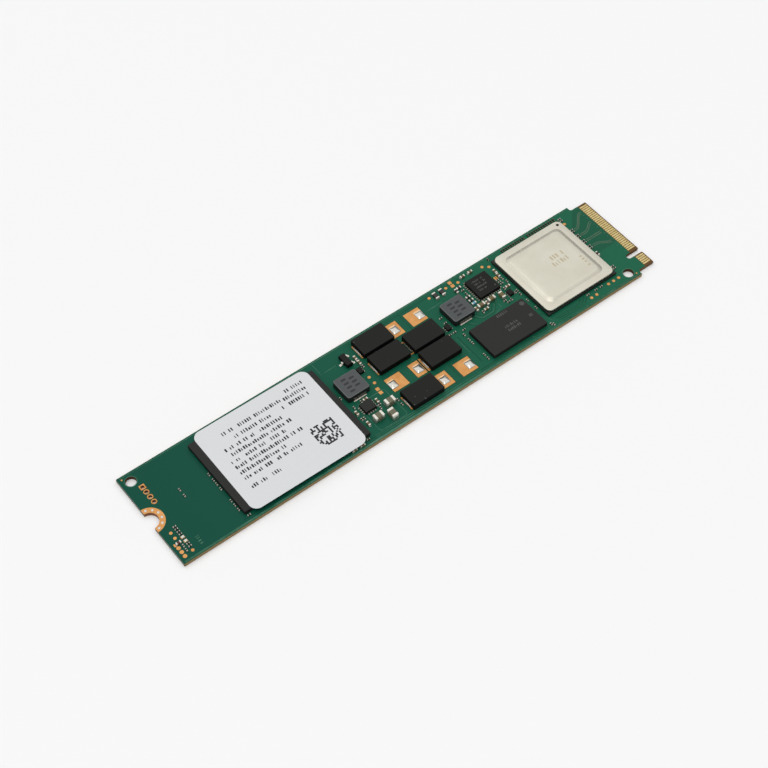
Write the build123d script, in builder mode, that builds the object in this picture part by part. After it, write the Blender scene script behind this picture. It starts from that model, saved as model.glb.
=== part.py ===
"""Card-edge solid state drive: a populated circuit board with a keyed contact tongue.

The board lies flat, its underside at Z = 0. X runs along the board from the screw notch
to the contact tongue, Y runs from the near long edge to the far one.
"""

import os
from collections import namedtuple

from build123d import *

os.makedirs("parts", exist_ok=True)

# Board
board_length = 110.0
board_width = 22.0
board_thickness = 0.8
copper_thickness = 0.035

# Contact tongue
tongue_length = 4.0
tongue_step = 1.075
tongue_corner = 0.5
bevel_length = 0.3
bevel_drop = 0.12
key_offset = -6.125
key_width = 1.2
key_depth = 3.5
key_keepout = 1.0
contact_pitch = 0.5
contact_width = 0.35
contact_length = 1.75
contact_margin = 0.2
mask_setback = 2.15

# Screw notch and its plated ring
notch_radius = 1.75
ring_radius = 2.85
via_circle = 2.3
via_radius = 0.22
via_count = 6
via_step = 30
solder_rise = 0.03

# Tooling holes, measured from the board's corners
tooling_radius = 1.05
tooling_notch_inset = 1.9
tooling_notch_side = 1.95
tooling_tongue_inset = 1.95
tooling_tongue_side = 1.75
mark_radius = 0.2
mark_inset = 0.75

# Test header: plated through holes. Small round shapes are drawn with a few flat sides
header_inset = 2.9
header_centre = 4.88
header_pitch = 1.27
header_count = 4
header_hole = 0.37
header_land = 0.6
round_sides = 12

# Solder balls in underfill hold the ball-grid packages off the board
ball_height = 0.2
ball_setback = 0.4
package_chamfer = 0.06

# Memory packages, as many as the board has room for, and the label across them
memory_length = 12.0
memory_width = 18.0
memory_height = 0.8
memory_gap = 3.55
memory_side = -0.2
memory_to_bank = 9.55
notch_zone = 9.2
label_inset = 1.325
label_width = 20.2
label_thickness = 0.1
label_corner = 1.6
label_shift = 0.15
label_turn = -0.5

# Drive controller: substrate, die and stamped lid
substrate_size = 17.2
substrate_thickness = 0.4
controller_side = 0.5
routing_length = 4.1
lid_inset = 0.2
lid_sheet = 0.5
lid_corner = 1.3
lid_flange = 1.6
lid_slope = 0.8
lid_rise = 0.4
lid_crown_corner = 0.9
lid_vent_radius = 0.25
lid_vent_inset = 1.0
die_size = 8.0

# Working memory
dram_length = 13.0
dram_width = 7.6
dram_height = 0.85
dram_gap = 1.6
dram_side = -5.75

# Power chip and the small regulator
power_size = 5.0
power_height = 0.85
power_to_controller = 2.65
power_side = 5.45
power_lead_count = 10
regulator_length = 2.5
regulator_width = 2.3
regulator_height = 0.8
regulator_to_bank = 4.9
regulator_side = -3.9
regulator_lead_count = 4
lead_pitch = 0.5
lead_width = 0.26
lead_reach = 0.35
lead_height = 0.15

# Moulded inductors
inductor_length = 5.1
inductor_width = 5.4
inductor_height = 1.5
inductor_corner = 0.5
inductor_chamfer = 0.15
inductor_to_power = 2.8
input_inductor_to_bank = 3.33
input_inductor_side = 1.48
output_inductor_side = 3.45
strap_thickness = 0.1
inductor_strap_width = 2.8
inductor_strap_height = 0.65
inductor_foot = 1.1

# Hold-up capacitor bank: two columns of four places
capacitor_length = 7.3
capacitor_width = 4.3
capacitor_height = 1.4
capacitor_chamfer = 0.12
capacitor_strap_width = 2.4
capacitor_strap_height = 0.7
capacitor_foot = 1.3
bank_row_count = 4
bank_row_pitch = 5.0
bank_column_gap = 0.85
bank_to_inductor = 2.75
land_reach = 0.15
land_length = 3.5
land_width = 3.4
shared_land_reach = 2.0
solder_length = 1.65
solder_width = 2.05
solder_height = 0.12
solder_taper = 30
filled_places = [(0, 0), (0, 1), (0, 3), (1, 1), (1, 2)]

# Three-lead transistor
transistor_length = 2.9
transistor_width = 1.3
transistor_height = 1.05
transistor_lift = 0.08
transistor_taper = 8
transistor_lead_width = 0.42
transistor_lead_sheet = 0.12
transistor_lead_reach = 0.75
transistor_lead_bend = 0.3
transistor_lead_pitch = 1.9
transistor_to_bank = 2.5
transistor_side = 6.9

# Small logic chips
logic_length = 1.1
logic_width = 1.35
logic_height = 0.55
logic_lead_reach = 0.2
logic_lead_count = 3

# Ceramic and resistor chips: a body between two metal end caps
ChipSize = namedtuple("ChipSize", "length width height cap")
large_chip = ChipSize(2.0, 1.25, 1.25, 0.5)
medium_chip = ChipSize(1.6, 0.8, 0.8, 0.35)
resistor_chip = ChipSize(1.6, 0.8, 0.45, 0.3)
common_chip = ChipSize(1.0, 0.5, 0.5, 0.25)
small_chip = ChipSize(0.6, 0.3, 0.3, 0.16)
cap_wall = 0.015
chip_row_pitch = 0.605
coupling_gap = 0.45

# Bare lands
test_land = 0.35
big_land = 0.43
square_land = 0.75
slim_land = 0.3
tinned_land = 0.6

# Reference lines along X, from the contact tip back to the notch
top = board_thickness
tip_x = board_length / 2
notch_x = -board_length / 2
far_edge = board_width / 2
near_edge = -board_width / 2
shoulder_x = tip_x - tongue_length
tongue_width = board_width - 2 * tongue_step
controller_right = shoulder_x - routing_length
controller_x = controller_right - substrate_size / 2
controller_left = controller_right - substrate_size
controller_far = controller_side + substrate_size / 2
controller_near = controller_side - substrate_size / 2
dram_x = controller_left - dram_gap - dram_length / 2
dram_left = dram_x - dram_length / 2
power_x = controller_left - power_to_controller - power_size / 2
output_inductor_x = power_x - power_size / 2 - inductor_to_power - inductor_length / 2
bank_right = output_inductor_x - inductor_length / 2 - bank_to_inductor
column_pitch = capacitor_length + bank_column_gap
column_x = [bank_right - capacitor_length / 2 - column_pitch, bank_right - capacitor_length / 2]
row_y = [bank_row_pitch * ((bank_row_count - 1) / 2 - row) for row in range(bank_row_count)]
bank_left = column_x[0] - capacitor_length / 2
memory_right = bank_left - memory_to_bank
memory_pitch = memory_length + memory_gap
memory_count = int((memory_right - notch_x - notch_zone + memory_gap) / memory_pitch)
memory_left = memory_right - memory_count * memory_pitch + memory_gap
memory_x = [memory_left + memory_length / 2 + memory_pitch * index for index in range(memory_count)]
memory_near = memory_side - memory_width / 2
input_inductor_x = bank_left - input_inductor_to_bank - inductor_length / 2
regulator_x = bank_left - regulator_to_bank - regulator_length / 2
transistor_x = bank_left - transistor_to_bank - transistor_width / 2

seated = (Align.CENTER, Align.CENTER, Align.MIN)
pieces = []


def keep(builder, name):
    """Label a finished piece and put it on the list that is written at the end."""
    builder.part.label = name
    pieces.append(builder.part)


def from_point(datum_x, offsets, datum_y=0.0):
    """Places (x, y, turn) on the board, given as (along, across, turn) from a reference point."""
    return [(datum_x + along, datum_y + across, turn) for along, across, turn in offsets]


def on_board(places, along=0.0, lift=0.0):
    """Locations on the upper face for places (x, y, turn), moved along their own axis and up."""
    return [Location((x, y, top), (0, 0, turn)) * Location((along, 0, lift)) for x, y, turn in places]


def flat(places):
    """Sketch points for places (x, y, turn)."""
    return [(x, y) for x, y, turn in places]


def chip_bodies(name, size, places):
    """Ceramic blocks of a chip size, a little slimmer than their end caps."""
    with BuildPart() as bodies:
        with Locations(*on_board(places, lift=cap_wall)):
            Box(
                size.length - 2 * size.cap,
                size.width - 2 * cap_wall,
                size.height - 2 * cap_wall,
                align=seated,
            )
    keep(bodies, name)


def chip_caps(name, size, places):
    """The two metal end caps of each chip."""
    reach = (size.length - size.cap) / 2
    with BuildPart() as caps:
        with Locations(*on_board(places, along=reach), *on_board(places, along=-reach)):
            Box(size.cap, size.width, size.height, align=seated)
    keep(caps, name)


def side_leads(centre_x, centre_y, length, width, counts):
    """Lead places (x, y, turn) around a flat chip, counted on its right, far, left and near sides."""
    places = []
    for side, count in enumerate(counts):
        turn = 90 * side
        half = (length, width)[side % 2] / 2
        for step in range(count):
            across = lead_pitch * (step - (count - 1) / 2)
            place = Location((centre_x, centre_y), turn) * Location((half, across))
            places.append((place.position.X, place.position.Y, turn))
    return places


# Plated half ring of the screw notch: two flanges joined by the wall of the notch
with BuildPart() as mounting_ring:
    with Locations((notch_x, 0, 0)):
        Cylinder(ring_radius, top, align=seated)
    with BuildSketch(Plane.XY.offset(copper_thickness)):
        with Locations((notch_x, 0)):
            Circle(ring_radius)
            Circle(notch_radius + copper_thickness, mode=Mode.SUBTRACT)
    extrude(amount=top - 2 * copper_thickness, mode=Mode.SUBTRACT)
    with Locations((notch_x, 0, 0)):
        Cylinder(notch_radius, 3 * top, mode=Mode.SUBTRACT)
    split(bisect_by=Plane.YZ.offset(notch_x), keep=Keep.TOP)
keep(mounting_ring, "mounting_ring")

with BuildPart() as ring_vias:
    with BuildSketch(Plane.XY.offset(top)):
        for index in range(via_count):
            turn = via_step * (index - (via_count - 1) / 2)
            with Locations(Location((notch_x, 0), turn) * Location((via_circle, 0))):
                RegularPolygon(via_radius, round_sides)
    extrude(amount=solder_rise)
keep(ring_vias, "ring_vias")

# Plated through holes of the test header, the first one with square lands
header_first = header_centre + header_pitch * (header_count - 1) / 2
header_x = notch_x + header_inset
header_places = [(header_x, header_first - header_pitch * index) for index in range(header_count)]
with BuildPart() as header_barrels:
    for level in (0, top - copper_thickness):
        with BuildSketch(Plane.XY.offset(level)):
            with Locations(header_places[0]):
                Rectangle(2 * header_land, 2 * header_land)
            with Locations(*header_places[1:]):
                RegularPolygon(header_land, round_sides)
        extrude(amount=copper_thickness)
    with BuildSketch():
        with Locations(*header_places):
            RegularPolygon(header_hole + copper_thickness, round_sides)
    extrude(amount=top)
    with BuildSketch():
        with Locations(*header_places):
            RegularPolygon(header_hole, round_sides)
    extrude(amount=top, mode=Mode.SUBTRACT)
keep(header_barrels, "header_barrels")

# Board: outline with the keyed tongue, notch and tooling holes
tooling_places = [
    (notch_x + tooling_notch_inset, far_edge - tooling_notch_side),
    (shoulder_x - tooling_tongue_inset, near_edge + tooling_tongue_side),
]
contact_start = tip_x - mask_setback
contact_floor = top - copper_thickness
with BuildPart() as circuit_board:
    with BuildSketch() as outline:
        with Locations(((notch_x + shoulder_x) / 2, 0)):
            Rectangle(shoulder_x - notch_x, board_width)
        with Locations(((shoulder_x + tip_x) / 2, 0)):
            Rectangle(tongue_length, tongue_width)
        inner_corners = outline.vertices().filter_by_position(Axis.Y, -tongue_width / 2, tongue_width / 2)
        fillet(inner_corners.group_by(Axis.X)[0], tongue_corner)
        with Locations((notch_x, 0)):
            Circle(notch_radius, mode=Mode.SUBTRACT)
        with Locations(*tooling_places):
            Circle(tooling_radius, mode=Mode.SUBTRACT)
        with Locations(*header_places):
            RegularPolygon(header_hole, round_sides, mode=Mode.SUBTRACT)
        slot_end = tip_x - key_depth + key_width / 2
        with Locations(((slot_end + tip_x) / 2, key_offset)):
            Rectangle(tip_x - slot_end, key_width, mode=Mode.SUBTRACT)
        with Locations((slot_end, key_offset)):
            Circle(key_width / 2, mode=Mode.SUBTRACT)
    extrude(amount=top)
    # The contacts lie in a shallow step, and the tip is bevelled on both sides
    with BuildSketch(Plane.XZ):
        with BuildLine():
            Polyline(
                (contact_start, top),
                (tip_x, top),
                (tip_x, contact_floor - bevel_drop),
                (tip_x - bevel_length, contact_floor),
                (contact_start, contact_floor),
                close=True,
            )
        make_face()
        mirror(about=Plane.XZ.offset(-top / 2))
    extrude(amount=board_width, both=True, mode=Mode.SUBTRACT)
    add(mounting_ring.part, mode=Mode.SUBTRACT)
    add(header_barrels.part, mode=Mode.SUBTRACT)
keep(circuit_board, "circuit_board")


def contact_rows(positions):
    """Contact places across the tongue, leaving the key slot free."""
    contact_x = tip_x - bevel_length - contact_length / 2
    return [(contact_x, y) for y in positions if abs(y - key_offset) > key_keepout]


half_span = tongue_width / 2 - contact_width / 2 - contact_margin
half_count = int(half_span / contact_pitch)
upper_positions = [contact_pitch * (index + 0.5) for index in range(-half_count, half_count)]
lower_positions = [contact_pitch * index for index in range(1 - half_count, half_count)]

with BuildPart() as edge_contacts_top:
    with BuildSketch(Plane.XY.offset(contact_floor)):
        with Locations(*contact_rows(upper_positions)):
            Rectangle(contact_length, contact_width)
    extrude(amount=copper_thickness)
keep(edge_contacts_top, "edge_contacts_top")

with BuildPart() as edge_contacts_bottom:
    with BuildSketch():
        with Locations(*contact_rows(lower_positions)):
            Rectangle(contact_length, contact_width)
    extrude(amount=copper_thickness)
keep(edge_contacts_bottom, "edge_contacts_bottom")

# Bare test lands on the upper face
round_lands = [
    *from_point(notch_x, [(1.6, -4.35, 0), (1.6, -5.65, 0), (2.72, -9.5, 0)]),
    *from_point(bank_left, [(-1.8, 1.48, 0), (-1.8, -0.16, 0)]),
    *from_point(controller_left, [(-15.0, -1.48, 0), (-10.9, -1.48, 0), (-8.15, -1.8, 0)], far_edge),
    *from_point(controller_left, [(-2.0, -1.63, 0), (-0.9, -2.43, 0)], far_edge),
    *from_point(controller_x, [(1.0, -1.44, 0), (2.3, -1.44, 0)], controller_near),
    *from_point(controller_x, [(5.85, -0.87, 0), (7.15, -0.87, 0), (8.45, -0.87, 0)], controller_near),
    *from_point(controller_right, [(0.8, 7.96, 0)]),
]
big_lands = from_point(notch_x, [(1.0, -7.7, 0), (1.0, -8.7, 0), (1.0, -9.7, 0)])
corner_marks = [
    (notch_x + mark_inset, far_edge - mark_inset, 0),
    (shoulder_x - mark_inset, near_edge + mark_inset, 0),
]
square_lands = [
    *from_point(bank_left, [(-2.22, -1.66, 0), (-2.22, -2.64, 0)]),
    *from_point(controller_left, [(-9.5, -0.9, 0), (-9.5, -1.83, 0)], far_edge),
]
slim_lands = [
    *from_point(notch_x, [(0.75, -6.95, 0)]),
    *from_point(controller_left, [(-1.9, 5.56, 0), (-1.5, 5.56, 0)]),
]
tinned_places = from_point(notch_x, [(2.8, -6.25, 0), (2.8, -7.2, 0)])
with BuildPart() as test_lands:
    with BuildSketch(Plane.XY.offset(top)):
        with Locations(*flat(round_lands)):
            RegularPolygon(test_land, round_sides)
        with Locations(*flat(big_lands)):
            RegularPolygon(big_land, round_sides)
        with Locations(*flat(corner_marks)):
            RegularPolygon(mark_radius, round_sides)
        with Locations(*flat(square_lands)):
            Rectangle(square_land, square_land)
        with Locations(*flat(slim_lands)):
            Rectangle(slim_land, square_land)
        with Locations(*flat(tinned_places)):
            Rectangle(square_land, tinned_land)
    extrude(amount=copper_thickness)
keep(test_lands, "test_lands")

# Copper lands of the capacitor bank: one at each outer end, one shared between the columns
outer_land_x = [
    bank_left - land_reach + land_length / 2,
    bank_right + land_reach - land_length / 2,
]
shared_land_x = sum(column_x) / 2
shared_land_length = bank_column_gap + 2 * shared_land_reach
land_top = top + copper_thickness
with BuildPart() as capacitor_lands:
    with BuildSketch(Plane.XY.offset(top)):
        with Locations(*[(x, y) for x in outer_land_x for y in row_y]):
            Rectangle(land_length, land_width)
        with Locations(*[(shared_land_x, y) for y in row_y]):
            Rectangle(shared_land_length, land_width)
    extrude(amount=copper_thickness)
keep(capacitor_lands, "capacitor_lands")

# Solder left on the empty places and on the tinned lands
terminal_offset = (capacitor_length - capacitor_foot) / 2
empty_places = [
    (column_x[column] + side * terminal_offset, row_y[row])
    for column in range(len(column_x))
    for row in range(bank_row_count)
    for side in (-1, 1)
    if (column, row) not in filled_places
]
with BuildPart() as spare_solder:
    with BuildSketch(Plane.XY.offset(land_top)):
        with Locations(*empty_places):
            Rectangle(solder_length, solder_width)
        with Locations(*flat(tinned_places)):
            Rectangle(tinned_land, tinned_land - 2 * copper_thickness)
    extrude(amount=solder_height, taper=solder_taper)
keep(spare_solder, "spare_solder")


def capacitor_body(column, row):
    """Moulded block on its strap feet, its upper edges chamfered."""
    with BuildPart(Plane.XY.offset(land_top + strap_thickness)) as body:
        with Locations((column_x[column], row_y[row], 0)):
            Box(
                capacitor_length - 2 * strap_thickness,
                capacitor_width,
                capacitor_height - strap_thickness - copper_thickness,
                align=seated,
            )
        chamfer(body.faces().sort_by(Axis.Z)[-1].edges(), capacitor_chamfer)
    return body


for index, (column, row) in enumerate(filled_places):
    keep(capacitor_body(column, row), f"hold_up_capacitor_{index + 1}")


def strap_profile(length, foot, height, base):
    """A strap terminal seen from the side: up the end of a body and under it."""
    with BuildSketch(Plane.XZ) as profile:
        with BuildLine():
            Polyline(
                (length / 2, base),
                (length / 2, base + height),
                (length / 2 - strap_thickness, base + height),
                (length / 2 - strap_thickness, base + strap_thickness),
                (length / 2 - foot, base + strap_thickness),
                (length / 2 - foot, base),
                close=True,
            )
        make_face()
    return profile.sketch


capacitor_places = [(column_x[column], row_y[row], 0) for column, row in filled_places]
with BuildPart() as capacitor_strap:
    profile = strap_profile(capacitor_length, capacitor_foot, capacitor_strap_height, copper_thickness)
    extrude(profile, amount=capacitor_strap_width / 2, both=True)
with BuildPart() as capacitor_terminals:
    with Locations(*on_board(capacitor_places)):
        add(capacitor_strap.part)
        add(capacitor_strap.part, rotation=(0, 0, 180))
keep(capacitor_terminals, "capacitor_terminals")

# Moulded inductors on their strap feet
inductor_places = {
    "input_inductor": (input_inductor_x, input_inductor_side, 90),
    "output_inductor": (output_inductor_x, output_inductor_side, 90),
}
for name, (x, y, turn) in inductor_places.items():
    with BuildPart() as inductor:
        with BuildSketch(Plane.XY.offset(top + strap_thickness)) as block:
            with Locations((x, y)):
                Rectangle(inductor_length, inductor_width - 2 * strap_thickness)
            chamfer(block.vertices(), inductor_corner)
        extrude(amount=inductor_height - strap_thickness)
        chamfer(inductor.faces().sort_by(Axis.Z)[-1].edges(), inductor_chamfer)
    keep(inductor, name)

with BuildPart() as inductor_strap:
    profile = strap_profile(inductor_width, inductor_foot, inductor_strap_height, 0)
    extrude(profile, amount=inductor_strap_width / 2, both=True)
with BuildPart() as inductor_terminals:
    with Locations(*on_board(inductor_places.values())):
        add(inductor_strap.part)
        add(inductor_strap.part, rotation=(0, 0, 180))
keep(inductor_terminals, "inductor_terminals")


def packages(name, centres, length, width, height):
    """Moulded packages on their ball fields, upper edges chamfered."""
    with BuildPart() as bodies:
        with Locations(*[(x, y, top + ball_height) for x, y in centres]):
            Box(length, width, height, align=seated)
        chamfer(bodies.faces().group_by(Axis.Z)[-1].edges(), package_chamfer)
    keep(bodies, name)


def ball_fields(name, centres, length, width):
    """The layer of solder balls in underfill below each package."""
    with BuildPart() as fields:
        with Locations(*[(x, y, top) for x, y in centres]):
            Box(length - 2 * ball_setback, width - 2 * ball_setback, ball_height, align=seated)
    keep(fields, name)


# Memory packages and working memory
memory_places = [(x, memory_side) for x in memory_x]
packages("memory_packages", memory_places, memory_length, memory_width, memory_height)
ball_fields("memory_ball_fields", memory_places, memory_length, memory_width)
dram_places = [(dram_x, dram_side)]
packages("working_memory", dram_places, dram_length, dram_width, dram_height)
ball_fields("working_memory_ball_field", dram_places, dram_length, dram_width)

# Label across the memory packages
label_length = memory_right - memory_left - 2 * label_inset
label_x = (memory_left + memory_right) / 2 + label_shift
label_plane = Plane((label_x, memory_side, top + ball_height + memory_height))
with BuildPart() as product_label:
    with BuildSketch(label_plane):
        with Locations(Location((0, 0), label_turn)):
            RectangleRounded(label_length, label_width, label_corner)
    extrude(amount=label_thickness)
keep(product_label, "product_label")

# Drive controller: substrate, die and stamped lid
substrate_top = top + ball_height + substrate_thickness
crown_top = substrate_top + lid_sheet + lid_rise
lid_size = substrate_size - 2 * lid_inset
ball_fields("controller_ball_field", [(controller_x, controller_side)], substrate_size, substrate_size)
with BuildPart() as controller_substrate:
    with Locations((controller_x, controller_side, top + ball_height)):
        Box(substrate_size, substrate_size, substrate_thickness, align=seated)
keep(controller_substrate, "controller_substrate")

with BuildPart() as controller_die:
    with Locations((controller_x, controller_side, substrate_top)):
        Box(die_size, die_size, lid_rise, align=seated)
keep(controller_die, "controller_die")


def lid_section(level, size, corner):
    """A rounded square of the lid at a height."""
    with BuildSketch(Plane((controller_x, controller_side, level))) as section:
        RectangleRounded(size, size, corner)
    return section.sketch


foot_size = lid_size - 2 * lid_flange
crown_size = foot_size - 2 * lid_slope
with BuildPart() as controller_lid:
    extrude(lid_section(substrate_top, lid_size, lid_corner), amount=lid_sheet)
    slope_foot = lid_section(substrate_top + lid_sheet, foot_size, lid_crown_corner + lid_slope)
    slope_head = lid_section(crown_top, crown_size, lid_crown_corner)
    loft([slope_foot, slope_head])
    # The hollow under the crown takes the die
    with Locations((controller_x, controller_side, substrate_top)):
        Box(crown_size, crown_size, lid_rise, align=seated, mode=Mode.SUBTRACT)
    vent = lid_size / 2 - lid_vent_inset
    with BuildSketch(Plane((controller_x + vent, controller_side + vent, substrate_top))):
        RegularPolygon(lid_vent_radius, round_sides)
    extrude(amount=lid_sheet, mode=Mode.SUBTRACT)
keep(controller_lid, "controller_lid")


def flat_chip(name, x, y, length, width, height):
    """A small moulded chip that lies on the board."""
    with BuildPart() as body:
        with Locations((x, y, top)):
            Box(length, width, height, align=seated)
    keep(body, name)


def flat_chip_leads(name, places, reach):
    """Lead toes at the sides of flat chips."""
    with BuildPart() as leads:
        with Locations(*on_board(places, along=reach / 2)):
            Box(reach, lead_width, lead_height, align=seated)
    keep(leads, name)


# Power chip, regulator and logic chips
logic_places = [
    *from_point(controller_left, [(-16.83, 1.52, 0), (-2.01, 0.92, 0)]),
    *from_point(bank_left, [(-2.3, 3.6, 0)]),
]
flat_chip("power_chip", power_x, power_side, power_size, power_size, power_height)
power_lead_places = side_leads(power_x, power_side, power_size, power_size, [power_lead_count] * 4)
flat_chip_leads("power_chip_leads", power_lead_places, lead_reach)
flat_chip("regulator", regulator_x, regulator_side, regulator_length, regulator_width, regulator_height)
regulator_counts = [regulator_lead_count, 0, regulator_lead_count, regulator_lead_count]
regulator_lead_places = side_leads(
    regulator_x, regulator_side, regulator_length, regulator_width, regulator_counts
)
flat_chip_leads("regulator_leads", regulator_lead_places, lead_reach)
logic_lead_places = []
for index, (x, y, turn) in enumerate(logic_places):
    flat_chip(f"logic_chip_{index + 1}", x, y, logic_length, logic_width, logic_height)
    logic_counts = [logic_lead_count, 0, logic_lead_count, 0]
    logic_lead_places += side_leads(x, y, logic_length, logic_width, logic_counts)
flat_chip_leads("logic_chip_leads", logic_lead_places, logic_lead_reach)

# Three-lead transistor: a body drafted from its parting line, on bent leads
parting = top + transistor_lift + (transistor_height - transistor_lift) / 2
with BuildPart() as transistor:
    with BuildSketch(Plane((transistor_x, transistor_side, parting))) as parting_face:
        Rectangle(transistor_width, transistor_length)
    extrude(amount=top + transistor_height - parting, taper=transistor_taper)
    lower_half = parting - top - transistor_lift
    extrude(parting_face.sketch, amount=lower_half, dir=(0, 0, -1), taper=transistor_taper)
keep(transistor, "transistor")

half_body = transistor_width / 2
with BuildPart() as bent_lead:
    with BuildSketch(Plane.XZ):
        with BuildLine():
            bend = half_body + transistor_lead_bend
            lead_level = parting - top
            Polyline(
                (half_body, lead_level - transistor_lead_sheet / 2),
                (bend - transistor_lead_sheet, lead_level - transistor_lead_sheet / 2),
                (bend - transistor_lead_sheet, 0),
                (half_body + transistor_lead_reach, 0),
                (half_body + transistor_lead_reach, transistor_lead_sheet),
                (bend, transistor_lead_sheet),
                (bend, lead_level + transistor_lead_sheet / 2),
                (half_body, lead_level + transistor_lead_sheet / 2),
                close=True,
            )
        make_face()
    extrude(amount=transistor_lead_width / 2, both=True)
transistor_lead_places = [
    (transistor_x, transistor_side, 180),
    (transistor_x, transistor_side + transistor_lead_pitch / 2, 0),
    (transistor_x, transistor_side - transistor_lead_pitch / 2, 0),
]
with BuildPart() as transistor_leads:
    with Locations(*on_board(transistor_lead_places)):
        add(bent_lead.part)
keep(transistor_leads, "transistor_leads")

# Chip resistors and ceramic capacitors, largest first
resistor_places = from_point(controller_left, [(-13.75, -1.9, 90), (-12.2, -1.9, 90)], far_edge)
large_places = from_point(bank_left, [(-2.42, -5.63, 0), (-6.1, -7.08, 0), (-3.66, -8.12, 90)])
medium_places = from_point(controller_left, [(-8.43, 1.83, 0), (-5.89, 1.83, 0), (-3.73, 1.28, 90)])
chip_bodies("chip_resistor_bodies", resistor_chip, resistor_places)
chip_caps("chip_resistor_caps", resistor_chip, resistor_places)
chip_bodies("large_ceramic_bodies", large_chip, large_places)
chip_caps("large_ceramic_caps", large_chip, large_places)
chip_bodies("medium_ceramic_bodies", medium_chip, medium_places)
chip_caps("medium_ceramic_caps", medium_chip, medium_places)

# Chips of the common size, by the colour of their bodies
ceramic_places = [
    *from_point(bank_left, [(-8.67, -3.86, 90), (-8.37, -6.98, 90), (-4.0, -3.84, 90), (-5.5, -2.24, 0)]),
    *from_point(bank_left, [(-1.25, 6.5, 90), (-1.25, 5.2, 90)]),
    *from_point(controller_left, [(-9.7, 1.68, 90), (-8.13, 0.6, 0), (-7.13, 1.6, 90)]),
    *from_point(controller_left, [(-0.88, 6.82, 90), (-0.98, 5.7, 90), (-1.33, 2.45, 0)]),
    *from_point(controller_left, [(-6.67, -1.3, 0), (-4.78, -1.3, 0)], far_edge),
    *from_point(memory_right, [(-4.25, -0.9, 0), (-2.5, -0.9, 0)], memory_near),
]
dark_places = [
    *from_point(controller_left, [(-9.12, 5.0, 0), (-9.12, 4.05, 0), (-9.07, 7.89, 0), (-9.9, 7.5, 90)]),
    *from_point(controller_right, [(0.6, -2.0, 90)]),
]
bead_places = from_point(controller_left, [(-9.12, 3.14, 0)])
indicator_places = from_point(notch_x, [(1.5, -6.95, 0)])
chip_bodies("ceramic_chip_bodies", common_chip, ceramic_places)
chip_bodies("dark_chip_bodies", common_chip, dark_places)
chip_bodies("bead_body", common_chip, bead_places)
chip_bodies("indicator_body", common_chip, indicator_places)
common_places = ceramic_places + dark_places + bead_places + indicator_places
chip_caps("common_chip_caps", common_chip, common_places)

far_row_y = (controller_far + far_edge) / 2


def chip_row(centre_x, count):
    """A row of small chips set side by side along the far edge, each across the row."""
    start_x = centre_x - chip_row_pitch * (count - 1) / 2
    return [(start_x + chip_row_pitch * index, far_row_y, 90) for index in range(count)]


def coupling_pair(y):
    """Two small chips one above the other, on the signal lines from controller to tongue."""
    coupling_x = controller_right + coupling_gap + small_chip.length / 2
    return [(coupling_x, y + side * chip_row_pitch / 2, 0) for side in (-1, 1)]


# The smallest chips, zone by zone
small_places = [
    *from_point(notch_x, [(2.8, -3.7, 0), (2.8, -4.33, 0), (2.8, -4.96, 0), (2.8, -5.59, 0)]),
    *from_point(notch_x, [(2.8, -7.98, 0), (2.8, -8.61, 0), (1.9, -7.88, 90), (1.85, -8.9, 90)]),
    *from_point(memory_left, [(-6.12, 2.15, 90), (-6.12, 0.62, 90)]),
    *from_point(memory_left, [(-0.27, 1.64, 90), (-0.27, 0.2, 90), (-0.27, -0.86, 90), (-0.27, -2.13, 90)]),
    *from_point(memory_left, [(-0.27, -5.35, 90), (-0.27, -6.48, 90), (-0.27, -7.63, 90)]),
    *from_point(memory_left, [(0.58, -0.45, 0)], memory_near),
    *from_point(memory_right, [(-0.86, -0.45, 0)], memory_near),
    *from_point(memory_right, [(0.56, 0.66, 90)]),
    *from_point(bank_left, [(-8.21, -2.47, 90), (-6.39, -2.2, 90), (-8.69, -5.47, 90), (-8.17, -5.52, 90)]),
    *from_point(bank_left, [(-4.41, -5.49, 90), (-4.12, -4.77, 0), (-0.82, -5.97, 90), (-0.84, -7.23, 90)]),
    *from_point(bank_left, [(-1.15, 4.15, 90)]),
    *from_point(dram_left, [(-0.82, -1.67, 90), (-0.82, -3.12, 90), (-0.82, -4.15, 90), (-0.06, -0.62, 0)]),
    *from_point(dram_left, [(-0.82, -7.62, 90), (-0.82, -8.72, 90)]),
    *from_point(controller_left, [(-16.45, 4.17, 0), (-16.45, 2.77, 0)]),
    *from_point(controller_left, [(-17.52, -0.07, 0), (-16.47, -0.07, 0)]),
    *from_point(controller_left, [(-8.77, 6.97, 0), (-8.7, 5.95, 90), (-9.06, 0.43, 90), (-4.01, 0.0, 0)]),
    *from_point(controller_left, [(-3.61, -0.62, 0), (-2.81, -0.47, 90), (-2.15, 2.42, 90)]),
    *from_point(controller_left, [(-1.87, 4.82, 0), (-1.82, 4.27, 0), (-1.72, 3.72, 0), (-0.87, 4.62, 90)]),
    *from_point(controller_left, [(-0.57, 3.57, 90), (-1.07, 0.42, 90), (-0.52, 0.53, 90)]),
    *from_point(controller_left, [(-0.57, -0.47, 90), (-0.57, -2.53, 90), (-0.47, -4.93, 90)]),
    *from_point(controller_left, [(0.08, far_row_y, 90)]),
    *from_point(controller_left, [(-0.82, 1.23, 90), (-0.4, 0.94, 90)], near_edge),
    *from_point(controller_x, [(0.83, -0.53, 0), (2.88, -0.53, 0), (4.18, -0.53, 0)], controller_near),
    *chip_row(controller_x - 2.25, 10),
    *chip_row(controller_x + 5.0, 12),
]
for pair_y in (9.2, 5.52, 3.8, 2.03, 0.28, -6.45):
    small_places += coupling_pair(pair_y)
chip_bodies("small_chip_bodies", small_chip, small_places)
chip_caps("small_chip_caps", small_chip, small_places)

for piece in pieces:
    export_step(piece, f"parts/{piece.label}.step")
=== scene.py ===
"""Looks of a card-edge solid state drive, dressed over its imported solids.

Every shape is worked out in millimetres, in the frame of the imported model: X runs from the
screw notch to the contact tongue, Z is up, and the underside of the board is at Z = 0.
"""

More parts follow.
